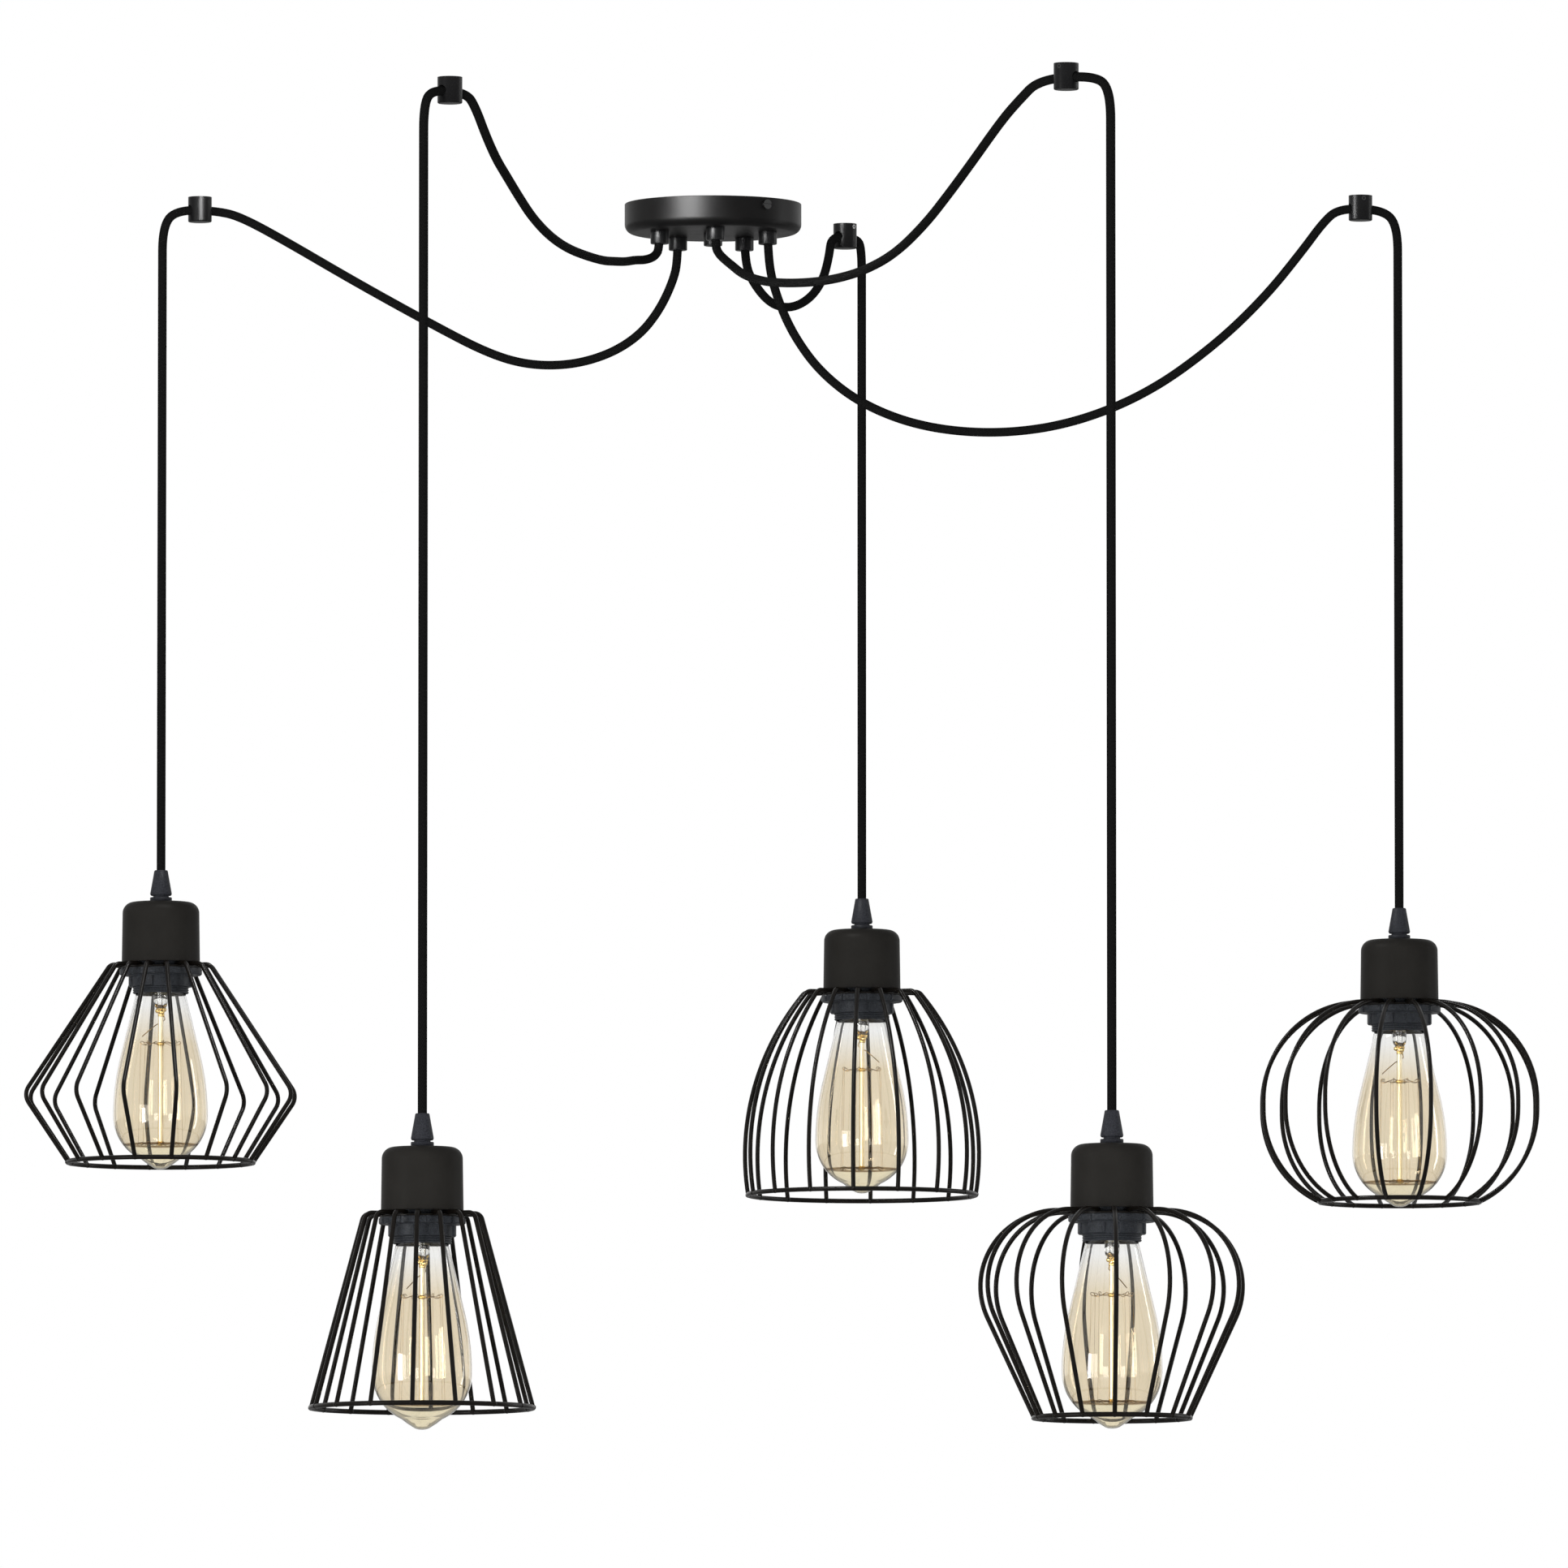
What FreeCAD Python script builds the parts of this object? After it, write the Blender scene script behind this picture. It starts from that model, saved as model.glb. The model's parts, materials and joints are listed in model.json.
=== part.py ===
import FreeCAD, Part
import math
import os

# Spider pendant light: one round ceiling canopy, five cords led to five ceiling holders,
# and a wire-cage lamp with a tinted bulb on the end of each cord.
# Millimetres. The ceiling is the plane z = 0, +Z is up, the canopy's centre is the origin,
# +X is to the right and -Y towards the room.

V = FreeCAD.Vector
UP = V(0, 0, 1)

# Gaps and fits
slip_gap = 0.1           # a screw, neck or disc in its hole, on the radius
cord_gap = 0.3           # a cord in a bore that turns round it, on the radius
thread_gap = 0.4         # the bulb's cap in its socket, on the radius
cut_over = 2.0           # a cutter runs this far past the wall that it cuts

# Cord
cord_d = 6.0

# Canopy
canopy_d = 120.0
canopy_h = 20.0
canopy_wall = 1.0
canopy_edge_r = 6.0

# Glands in the canopy: one in the middle, five round it
gland_circle_r = 38.5
gland_bearings = (128.5, 200.5, 56.5, 272.5, 344.5)
gland_d = 12.0
gland_h = 8.5
gland_edge = 0.8
gland_neck_d = 10.0
gland_neck_h = 6.0
gland_bore_gap = 0.2
cord_stub = 2.0          # a cord's end stands this far above its gland's neck
nut_flats = 14.0
nut_h = 3.0

# Ceiling bracket and the two side screws
bracket_bearing = 306.8
bracket_w = 20.0
bracket_t = 1.5
bracket_tab = 10.0
bracket_gap = 0.3        # a tab's corner to the canopy's wall
bracket_hole_d = 4.5
bracket_hole_circle_d = 64.0
side_screw_z = 5.0
side_screw_d = 4.0
side_screw_head_d = 6.6
side_screw_head_h = 2.2
side_screw_l = 7.5
side_screw_slot = 0.9
side_screw_slot_depth = 1.0

# Terminal block and the conductors that reach it
block_l = 38.0
block_w = 18.0
block_h = 11.0
block_edge = 1.0
block_pitch = 12.0
block_well_d = 4.2
block_well_depth = 5.0
conductor_d = 1.6
conductor_pitch = 3.0
conductor_rise = 5.0     # straight up from the cord's end before it turns to the block
conductor_in = 3.0

# Cord holders on the ceiling
holder_d = 16.0
holder_h = 17.0
holder_edge = 0.8
holder_bore_d = 7.0
holder_bore_z = 9.0
base_d = 11.6
base_h = 4.0
base_recess = 4.5
base_hole_d = 4.4
base_sink_d = 8.4
base_sink_h = 2.0
set_screw_d = 2.9
set_screw_z = 2.3
set_screw_key_d = 1.5
set_screw_key_depth = 1.0

# Places of the holders, the bearing of each holder's bore, and how far out its drop hangs
holder_1_x = -347.0
holder_1_y = -47.0
holder_2_x = -166.0
holder_2_y = -793.0
holder_3_x = 90.0
holder_3_y = 131.0
holder_4_x = 228.0
holder_4_y = -874.0
holder_5_x = 438.0
holder_5_y = -57.0
bore_bearings = (203.7, 225.9, 50.6, 324.5, 15.5)
drop_1_reach = 27.3
drop_2_reach = 23.7
drop_3_reach = 18.1
drop_4_reach = 34.4
drop_5_reach = 26.3
drop_bend_r = 19.0       # the cord's bend over a holder's edge, where there is room for it
drop_lead = 0.3          # the bend starts this far outside the holder

# Height of each cup's rim under the ceiling
rim_1_z = 520.0
rim_2_z = 729.0
rim_3_z = 525.0
rim_4_z = 732.0
rim_5_z = 545.0

# Cup, and the grip above it
cup_rim_d = 52.8
cup_top_d = 51.8
cup_h = 41.0
cup_wall = 1.0
cup_edge_r = 6.5
grip_h = 21.5
grip_top_d = 9.0
grip_foot_d = 13.6
grip_disc_h = 1.9
grip_waist_d = 10.6
grip_waist_h = 1.1
grip_foot_bevel = 0.7

# Lampholder
neck_d = 10.0
neck_h = 9.0             # the threaded neck stands this far above the cup
holder_body_d = 37.7
holder_lip_z = 20.9      # the lip hangs this far under the cup's rim
holder_shoulder_z = 28.0
holder_crown_z = 36.0
holder_crown_d = 16.0
mouth_gap = 0.5
mouth_depth = 3.0
socket_floor_h = 3.0
socket_over = 2.0        # the socket is this much deeper than the bulb's cap
chamber_wall = 2.5
chamber_top_z = 26.0
cord_in_chamber = 4.0    # the cord's end hangs this far into the terminal chamber

# Shade ring that clamps the cage to the lampholder
ring_flange_d = 55.5
ring_flange_h = 4.5
ring_collar_d = 43.5
ring_collar_h = 7.9
ring_notches = 12
ring_notch_w = 5.6
ring_notch_depth = 1.2
ring_notch_lead = 1.0

# Cages: wire, plate and the bottom ring
wire_d = 3.0
hoop_d = 3.2
weld_bite = 0.2
plate_d = 54.0
plate_hole_d = 40.5
plate_t = 1.2
wire_start_d = 44.0
wire_bend_r = 5.0

diamond_out = 7.2
diamond_belly_out = 66.1
diamond_belly_z = 89.7
diamond_belly_bend_r = 10.0
diamond_hoop_out = 35.7
diamond_hoop_z = 134.6
diamond_wire_count = 16
diamond_first_bearing = -81.6

cone_out = 10.3
cone_hoop_out = 44.0
cone_hoop_z = 125.3
cone_wire_count = 16
cone_first_bearing = -94.0

dome_belly_out = 53.2
dome_belly_z = 113.0
dome_bend_r = 172.0
dome_hoop_z = 140.3
dome_wire_count = 16
dome_first_bearing = -94.5

pumpkin_out = 9.3
pumpkin_bend_r = 47.3
pumpkin_hoop_out = 22.5
pumpkin_hoop_z = 132.5
pumpkin_wire_count = 15
pumpkin_first_bearing = -89.0

globe_bend_r = 67.0
globe_belly_h = 6.0
globe_hoop_share = 0.915   # the hoop hangs this share of the bend under its centre
globe_wire_count = 16
globe_first_bearing = -78.75

# Bulb: heights run down from the lampholder's lip
bulb_neck_d = 33.6
bulb_flank_d = 54.0
bulb_flank_z = 42.0
bulb_d = 64.0
bulb_belly_z = 82.5
bulb_flank_bend_r = 166.5
bulb_heel_d = 26.0
bulb_nose_d = 11.0
bulb_nose_z = 117.0
bulb_l = 118.5
bulb_wall = 0.9
bulb_stalk_d = 23.6
bulb_shoulder_h = 2.5
bulb_stalk_h = 10.0
cap_d = 26.2
cap_root_d = 24.6
cap_pitch = 3.6
cap_threads = 5
cap_skirt_gap = 0.1
cap_h = 24.0
cap_end_d = 10.0
cap_contact_d = 9.0
cap_contact_h = 1.6
stem_d = 9.0
stem_tip_z = 13.0
stem_flare_h = 8.0
rod_d = 2.2
bead_d = 4.4
bead_h = 1.6
filament_top_z = 33.0
filament_foot_z = 98.0
filament_circle_d = 27.0
filament_count = 8
filament_d = 0.5


def polar(radius, bearing):
    """Point of the ceiling plane at a radius and a bearing in degrees."""
    turn = math.radians(bearing)
    return V(radius * math.cos(turn), radius * math.sin(turn), 0)


def column(radius, low, high, centre=V(0, 0, 0)):
    """Upright cylinder between two heights."""
    return Part.makeCylinder(radius, high - low, centre + UP * low)


def bar(radius, start, end):
    """Cylinder from one point to another."""
    along = end - start
    return Part.makeCylinder(radius, along.Length, start, along)


def corner(before, here, after, radius):
    """Tangent arc that rounds one point of a route: its first, middle and last points."""
    back = (before - here).normalize()
    on = (after - here).normalize()
    half_turn = (math.pi - back.getAngle(on)) / 2
    reach = radius * math.tan(half_turn)
    inward = (back + on).normalize() * (radius / math.cos(half_turn) - radius)
    return here + back * reach, here + inward, here + on * reach


def rounded(points, radii):
    """Edges of straight runs joined by tangent arcs, one radius for each inner point."""
    edges = []
    start = points[0]
    for place, radius in enumerate(radii, 1):
        first, middle, last = corner(points[place - 1], points[place], points[place + 1], radius)
        edges.append(Part.LineSegment(start, first).toShape())
        edges.append(Part.Arc(first, middle, last).toShape())
        start = last
    edges.append(Part.LineSegment(start, points[-1]).toShape())
    return edges


def tube(edges, diameter):
    """Round bar swept along a row of tangent edges."""
    first = edges[0]
    start = first.valueAt(first.FirstParameter)
    along = first.tangentAt(first.FirstParameter)
    section = Part.Wire(Part.Circle(start, along, diameter / 2).toShape())
    return Part.Wire(edges).makePipeShell([section], True, False)


def outline_arc(start, middle, end):
    """Arc of an outline. One whose circle crosses the axis becomes a spline, which revolves cleanly."""
    edge = Part.Arc(start, middle, end).toShape()
    if abs(edge.Curve.Center.x) < edge.Curve.Radius:
        edge = edge.toNurbs().Edges[0]
    return edge


def turned(*steps):
    """Solid of revolution about Z from a closed outline of (radius, height) points.
    A step of four values is an arc through its first pair to its second."""
    edges = []
    here = steps[0]
    for step in steps[1:] + steps[:1]:
        start = V(here[0], 0, here[1])
        end = V(step[-2], 0, step[-1])
        if len(step) == 4:
            edges.append(outline_arc(start, V(step[0], 0, step[1]), end))
        else:
            edges.append(Part.makeLine(start, end))
        here = step[-2:]
    return Part.Face(Part.Wire(edges)).revolve(V(0, 0, 0), UP, 360)


def arc_to(centre_r, centre_z, radius, bearing, end_r, end_z):
    """Arc step of an outline, by its circle and the bearing of its middle."""
    turn = math.radians(bearing)
    return (centre_r + radius * math.cos(turn), centre_z + radius * math.sin(turn), end_r, end_z)


def backwards(steps):
    """The same outline walked from its last point to its first."""
    ends = [step[-2:] for step in steps]
    walk = [ends[-1]]
    for step, before in zip(reversed(steps), reversed(ends[:-1])):
        walk.append(step[:-2] + before)
    return walk


def spun(shape, bearing):
    """Copy of a shape turned about Z."""
    copy = shape.copy()
    copy.rotate(V(0, 0, 0), UP, bearing)
    return copy


def moved(shape, place):
    """Copy of a shape moved by a vector."""
    copy = shape.copy()
    copy.translate(place)
    return copy


# Places worked out from the sizes above
canopy_r = canopy_d / 2
cord_gland_places = [polar(gland_circle_r, bearing) for bearing in gland_bearings]
gland_places = [V(0, 0, 0)] + cord_gland_places
gland_top_z = gland_neck_h - canopy_h
cord_start_z = gland_top_z + cord_stub
holder_places = (
    V(holder_1_x, holder_1_y, 0),
    V(holder_2_x, holder_2_y, 0),
    V(holder_3_x, holder_3_y, 0),
    V(holder_4_x, holder_4_y, 0),
    V(holder_5_x, holder_5_y, 0),
)
drop_reaches = (drop_1_reach, drop_2_reach, drop_3_reach, drop_4_reach, drop_5_reach)
rim_heights = (rim_1_z, rim_2_z, rim_3_z, rim_4_z, rim_5_z)
plate_r = plate_d / 2
plate_top_z = weld_bite - wire_d
ring_top_z = plate_top_z - plate_t
lip_z = -holder_lip_z

# Each cord's way from its gland to its holder, chosen by hand: how far it falls straight from
# the ceiling, its free points, and how far it runs in line with the bore
swag_leads = (15.5, 15.5, 14.5, 21.0, 15.5)
swag_falls = (35.5, 31.5, 36.0, 31.5, 37.0)
swag_routes = (
    ((-27.5, 30, -50), (-36.5, 27.7, -69.5), (-50, 24.5, -87), (-70.5, 19.5, -100.5),
     (-97, 13.5, -108.5), (-126, 6.5, -109), (-153, 0, -101.5), (-190, -8.5, -83),
     (-241.5, -20.5, -55.5), (-290, -31.5, -28), (-317.5, -37, -13.5)),
    ((-39.5, -17.5, -37.5), (-45.8, -26, -40.6), (-52.5, -42, -42.2), (-56.5, -70, -45.8),
     (-60, -118, -51), (-65.5, -180, -57), (-72, -258, -64.5), (-82, -345, -70.2),
     (-94, -430, -73.8), (-105, -512, -74), (-115.5, -588, -69.5), (-124, -650, -61.5),
     (-131, -702, -54), (-137, -738, -47), (-143.5, -762, -34), (-149.5, -774.5, -18.5)),
    ((27.5, 38.2, -50.5), (39.5, 56, -63), (53.5, 77, -63.5),
     (66.5, 96, -54.5), (75, 109, -40.5), (79, 116.5, -24)),
    ((3.5, -43.5, -37.5), (8.5, -54, -43.5), (14.5, -76, -50.5), (19, -103, -57),
     (27, -145, -65), (39, -197, -73), (59, -278, -81.5), (80, -363, -87.8),
     (101, -449, -90.3), (121, -529, -87), (140, -606, -75.5), (155, -668, -62),
     (170, -728, -47), (181.5, -775, -35), (190, -812, -27), (198, -840, -20.5)),
    ((42, -12.5, -61), (54, -14, -90), (74, -16, -117.5),
     (104, -19.5, -140), (145, -24, -155), (195, -30, -159.5), (245, -35.5, -152.5),
     (295, -42, -132.5), (340, -48.5, -100.5), (374, -54, -68), (399.5, -59.5, -36.5),
     (412, -62, -19.5)),
)


def canopy_cup():
    """Shallow round pan, open to the ceiling, with the gland and screw holes."""
    edge = canopy_edge_r
    inner_edge = canopy_edge_r - canopy_wall
    inner_r = canopy_r - canopy_wall
    floor = canopy_wall - canopy_h
    pan = turned(
        (inner_r, 0), (canopy_r, 0), (canopy_r, edge - canopy_h),
        arc_to(canopy_r - edge, edge - canopy_h, edge, -45, canopy_r - edge, -canopy_h),
        (0, -canopy_h), (0, floor), (inner_r - inner_edge, floor),
        arc_to(inner_r - inner_edge, floor + inner_edge, inner_edge, -45,
               inner_r, floor + inner_edge),
    )
    for place in gland_places:
        hole_r = gland_neck_d / 2 + slip_gap
        pan = pan.cut(column(hole_r, -canopy_h - cut_over, floor + cut_over, place))
    for side in (0, 180):
        out = polar(canopy_r + cut_over, bracket_bearing + side)
        hole = bar(side_screw_d / 2 + slip_gap, V(0, 0, 0), out)
        hole = hole.cut(column(inner_r - cut_over, -canopy_h, canopy_h))
        pan = pan.cut(moved(hole, UP * -side_screw_z))
    return pan


def mounting_bracket():
    """Flat strip against the ceiling with a bent-down tapped tab at each end."""
    half_w = bracket_w / 2
    half_l = math.sqrt((canopy_r - canopy_wall) ** 2 - half_w ** 2) - bracket_gap
    strip = Part.makeBox(2 * half_l, bracket_w, bracket_t, V(-half_l, -half_w, -bracket_t))
    for side in (0, 180):
        tab = Part.makeBox(bracket_t, bracket_w, bracket_tab, V(half_l - bracket_t, -half_w, -bracket_tab))
        tapped = bar(side_screw_d / 2 + slip_gap, V(half_l - bracket_t - cut_over, 0, -side_screw_z),
                     V(half_l + cut_over, 0, -side_screw_z))
        strip = strip.fuse(spun(tab.cut(tapped), side))
        fixing = V(bracket_hole_circle_d / 2, 0, 0)
        strip = strip.cut(spun(column(bracket_hole_d / 2, -bracket_t - cut_over, cut_over, fixing), side))
    return spun(strip.removeSplitter(), bracket_bearing)


def side_screws():
    """Two slotted screws that hold the canopy to the bracket's tabs."""
    head = bar(side_screw_head_d / 2, V(canopy_r, 0, 0), V(canopy_r + side_screw_head_h, 0, 0))
    shank = bar(side_screw_d / 2, V(canopy_r + slip_gap - side_screw_l, 0, 0), V(canopy_r + slip_gap, 0, 0))
    slot = Part.makeBox(
        side_screw_slot_depth + cut_over, side_screw_head_d + cut_over, side_screw_slot,
        V(canopy_r + side_screw_head_h - side_screw_slot_depth,
          -(side_screw_head_d + cut_over) / 2, -side_screw_slot / 2))
    screw = moved(head.fuse(shank).cut(slot), UP * -side_screw_z)
    return Part.makeCompound([spun(screw, bracket_bearing), spun(screw, bracket_bearing + 180)])


def block_entries():
    """Where each cord's conductors enter the terminal block, in the block's own axes, with the way in."""
    side = block_w / 2
    return {
        4: (V(block_pitch, -side, 0), V(0, 1, 0)),
        2: (V(-block_pitch, -side, 0), V(0, 1, 0)),
        1: (V(-block_l / 2, 0, 0), V(1, 0, 0)),
        3: (V(-block_pitch, side, 0), V(0, -1, 0)),
        5: (V(block_pitch, side, 0), V(0, -1, 0)),
    }


def terminal_block():
    """Block under the bracket with screw wells in its floor and wire entries in its sides."""
    top = -bracket_t
    body = Part.makeBox(block_l, block_w, block_h, V(-block_l / 2, -block_w / 2, top - block_h))
    upright = [edge for edge in body.Edges if abs(edge.tangentAt(0).z) > 0.5]
    body = body.makeFillet(block_edge, upright)
    for along in (-block_pitch, 0, block_pitch):
        for side in (-1, 1):
            well = V(along, side * block_w / 4, 0)
            floor = top - block_h
            body = body.cut(column(block_well_d / 2, floor - cut_over, floor + block_well_depth - cut_over, well))
    level = UP * (cord_start_z + conductor_rise)
    for place, way in block_entries().values():
        across = V(-way.y, way.x, 0) * (conductor_pitch / 2)
        for side in (-1, 1):
            mouth = place + across * side + level
            entry = bar(conductor_d / 2 + slip_gap, mouth - way * cut_over, mouth + way * conductor_in)
            body = body.cut(entry)
    return spun(body, bracket_bearing)


def canopy_wiring():
    """Two conductors from the end of each cord to the terminal block."""
    wires = []
    for gland, (place, way) in block_entries().items():
        across = V(-way.y, way.x, 0) * (conductor_pitch / 2)
        start = spun(Part.Vertex(gland_places[gland]), -bracket_bearing).Point
        rise = UP * cord_start_z
        turn = UP * (cord_start_z + conductor_rise)
        for side in (-1, 1):
            shift = across * side
            entry = place + shift + turn
            points = [start + shift + rise, start + shift + turn, entry - way * cut_over,
                      entry + way * conductor_in]
            wires.append(tube(rounded(points, (conductor_d, conductor_d)), conductor_d))
    return spun(Part.makeCompound(wires), bracket_bearing)


def cord_glands():
    """Six round outlets under the canopy, each with a threaded neck and a bore for its cord."""
    foot = -canopy_h - gland_h
    bore_r = cord_d / 2 + gland_bore_gap
    gland = turned(
        (bore_r, gland_top_z), (gland_neck_d / 2, gland_top_z), (gland_neck_d / 2, -canopy_h),
        (gland_d / 2, -canopy_h), (gland_d / 2, foot + gland_edge), (gland_d / 2 - gland_edge, foot),
        (bore_r, foot),
    )
    return Part.makeCompound([moved(gland, place) for place in gland_places])


def gland_nuts():
    """Hexagon nuts that hold the glands from inside the canopy."""
    floor = canopy_wall - canopy_h
    corner_r = nut_flats / 2 / math.cos(math.radians(30))
    outline = Part.makePolygon([polar(corner_r, 60 * side) for side in range(7)])
    nut = Part.Face(outline).extrude(UP * nut_h)
    nut = nut.cut(column(gland_neck_d / 2 + slip_gap, -cut_over, nut_h + cut_over))
    return Part.makeCompound([moved(nut, place + UP * floor) for place in gland_places])


def cord_holders():
    """Five round knobs, each with a cross bore for the cord and a recess over its base disc."""
    knobs = []
    recess_r = base_d / 2 + 2 * slip_gap
    knob_r = holder_d / 2
    knob = turned(
        (knob_r, 0), (knob_r, holder_edge - holder_h),
        arc_to(knob_r - holder_edge, holder_edge - holder_h, holder_edge, -45,
               knob_r - holder_edge, -holder_h),
        (0, -holder_h), (0, -base_recess), (recess_r, -base_recess), (recess_r, 0),
    )
    for place, bearing in zip(holder_places, bore_bearings):
        end = V(knob_r + cut_over, 0, -holder_bore_z)
        bore = bar(holder_bore_d / 2, V(-end.x, 0, end.z), end)
        grub = bar(set_screw_d / 2 + slip_gap, V(0, 0, -set_screw_z), V(0, -end.x, -set_screw_z))
        knobs.append(moved(spun(knob.cut(bore).cut(grub), bearing), place))
    return Part.makeCompound(knobs)


def holder_bases():
    """Five countersunk discs that the knobs slip over."""
    hole_r = base_hole_d / 2
    disc = turned(
        (hole_r, 0), (base_d / 2, 0), (base_d / 2, -base_h), (base_sink_d / 2, -base_h),
        (hole_r, base_sink_h - base_h),
    )
    return Part.makeCompound([moved(disc, place) for place in holder_places])


def holder_screws():
    """Set screws that lock each knob to its disc."""
    screw = bar(set_screw_d / 2, V(0, -base_d / 2, -set_screw_z), V(0, -holder_d / 2, -set_screw_z))
    key = bar(set_screw_key_d / 2, V(0, set_screw_key_depth - holder_d / 2, -set_screw_z),
              V(0, -holder_d / 2 - cut_over, -set_screw_z))
    screws = [moved(spun(screw.cut(key), bearing), place)
              for place, bearing in zip(holder_places, bore_bearings)]
    return Part.makeCompound(screws)


def cord(name, points):
    """Round cord along a route. Each bend is as wide as its shorter run allows."""
    radii = []
    for before, here, after in zip(points, points[1:], points[2:]):
        back = before - here
        on = after - here
        turn = math.pi - back.getAngle(on)
        radii.append(0.45 * min(back.Length, on.Length) / math.tan(turn / 2))
    edges = rounded(points, radii)
    solid = tube(edges, cord_d)
    length = sum(edge.Length for edge in edges)
    filled = solid.Volume / (math.pi * cord_d ** 2 / 4 * length)
    print(name, "length", round(length, 1), "radii", [round(radius) for radius in radii],
          "volume over section times length", round(filled, 5), "valid", solid.isValid())
    return solid


def swag_cord(lamp):
    """Cord from inside the canopy, through its gland, to the middle of its holder's bore."""
    gland = cord_gland_places[lamp]
    end = holder_places[lamp] - UP * holder_bore_z
    lead = end - polar(swag_leads[lamp], bore_bearings[lamp])
    points = [gland + UP * cord_start_z, gland - UP * swag_falls[lamp]]
    points += [V(*point) for point in swag_routes[lamp]]
    return cord("swag %d" % (lamp + 1), points + [lead, end])


def lamp_place(lamp):
    """Centre of a cup's rim."""
    out = polar(drop_reaches[lamp], bore_bearings[lamp])
    return holder_places[lamp] + out - UP * rim_heights[lamp]


def drop_cord(lamp):
    """Cord from the middle of the holder's bore, over its edge and down into the lampholder."""
    start = holder_places[lamp] - UP * holder_bore_z
    reach = drop_reaches[lamp]
    bend_r = min(drop_bend_r, reach - holder_d / 2 - drop_lead)
    cut = bend_r * (1 - math.tan(math.radians(22.5)))
    over = start + polar(reach - cut, bore_bearings[lamp])
    under = start + polar(reach, bore_bearings[lamp]) - UP * cut
    end = lamp_place(lamp) + UP * (chamber_top_z - cord_in_chamber)
    return cord("drop %d" % (lamp + 1), [start, over, under, end])


def cord_grip():
    """Tapered strain relief on a waisted foot disc, with a bore for the cord and a tapped foot."""
    foot_r = grip_foot_d / 2
    bore_r = cord_d / 2 + cord_gap
    tap_r = neck_d / 2 + slip_gap
    low = cup_h
    waist = low + grip_disc_h
    cone = waist + grip_waist_h
    top = low + grip_h
    return turned(
        (tap_r, low), (foot_r, low), (foot_r, waist), (grip_waist_d / 2, waist),
        (grip_waist_d / 2, cone), (foot_r - grip_foot_bevel, cone), (foot_r, cone + grip_foot_bevel * 2),
        (grip_top_d / 2, top), (bore_r, top), (bore_r, low + neck_h), (tap_r, low + neck_h),
    )


def cup():
    """Deep cup over the lampholder, with a rounded crown and a hole for the threaded neck."""
    hole_r = neck_d / 2 + slip_gap
    rim_r = cup_rim_d / 2
    top_r = cup_top_d / 2
    inner_edge = cup_edge_r - cup_wall
    shoulder = cup_h - cup_edge_r
    return turned(
        (rim_r - cup_wall, 0), (rim_r, 0), (top_r, shoulder),
        arc_to(top_r - cup_edge_r, shoulder, cup_edge_r, 45, top_r - cup_edge_r, cup_h),
        (hole_r, cup_h), (hole_r, cup_h - cup_wall), (top_r - cup_edge_r, cup_h - cup_wall),
        arc_to(top_r - cup_edge_r, shoulder, inner_edge, 45, top_r - cup_wall, shoulder),
    )


def lampholder():
    """Round lampholder: open socket below, terminal chamber above, and the hollow threaded neck."""
    body_r = holder_body_d / 2
    neck_r = neck_d / 2
    bore_r = cord_d / 2 + cord_gap
    mouth_r = bulb_neck_d / 2 + mouth_gap
    socket_r = cap_d / 2 + thread_gap
    ledge = lip_z + mouth_depth
    socket_top = lip_z + bulb_shoulder_h + cap_h + socket_over
    floor = socket_top + socket_floor_h
    chamber_r = body_r - chamber_wall
    neck_foot = cup_h - cup_wall
    neck_top = cup_h + neck_h
    body = turned(
        (mouth_r, lip_z), (body_r, lip_z), (body_r, holder_shoulder_z),
        (holder_crown_d / 2, holder_crown_z), (neck_r, neck_foot), (neck_r, neck_top),
        (bore_r, neck_top), (bore_r, chamber_top_z), (chamber_r, chamber_top_z), (chamber_r, floor),
        (0, floor), (0, socket_top), (socket_r, socket_top), (socket_r, ledge), (mouth_r, ledge),
    )
    return body


def shade_ring():
    """Flanged ring screwed up the lampholder, with finger notches in its collar."""
    bore_r = holder_body_d / 2 + slip_gap
    flange_foot = ring_top_z - ring_flange_h
    foot = flange_foot - ring_collar_h
    ring = turned(
        (bore_r, ring_top_z), (ring_flange_d / 2, ring_top_z), (ring_flange_d / 2, flange_foot),
        (ring_collar_d / 2, flange_foot), (ring_collar_d / 2, foot), (bore_r, foot),
    )
    notch = Part.makeBox(
        ring_notch_depth + cut_over, ring_notch_w, ring_collar_h - ring_notch_lead + cut_over,
        V(ring_collar_d / 2 - ring_notch_depth, -ring_notch_w / 2, foot - cut_over))
    notches = [spun(notch, 360 * place / ring_notches) for place in range(ring_notches)]
    return ring.cut(Part.makeCompound(notches))


def flat(radius, depth):
    """Point of a cage wire's own plane: radius from the axis, depth of its centre under the rim."""
    return V(radius, 0, -depth)


def top_run():
    """Start of every cage wire on its plate."""
    return flat(wire_start_d / 2, wire_d / 2)


def diamond_wire():
    """Straight out and down to a sharp belly, then in to the hoop."""
    hoop = flat(plate_r + diamond_hoop_out, diamond_hoop_z)
    points = [top_run(), flat(plate_r + diamond_out, wire_d / 2),
              flat(plate_r + diamond_belly_out, diamond_belly_z), hoop]
    return rounded(points, (wire_bend_r, diamond_belly_bend_r)), hoop


def cone_wire():
    """Straight down and out to the hoop."""
    hoop = flat(plate_r + cone_hoop_out, cone_hoop_z)
    points = [top_run(), flat(plate_r + cone_out, wire_d / 2), hoop]
    return rounded(points, (wire_bend_r,)), hoop


def circle_point(centre, radius, bearing):
    """Point of a circle in a wire's plane, by its bearing from straight out towards up."""
    turn = math.radians(bearing)
    return centre + V(radius * math.cos(turn), 0, radius * math.sin(turn))


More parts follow.
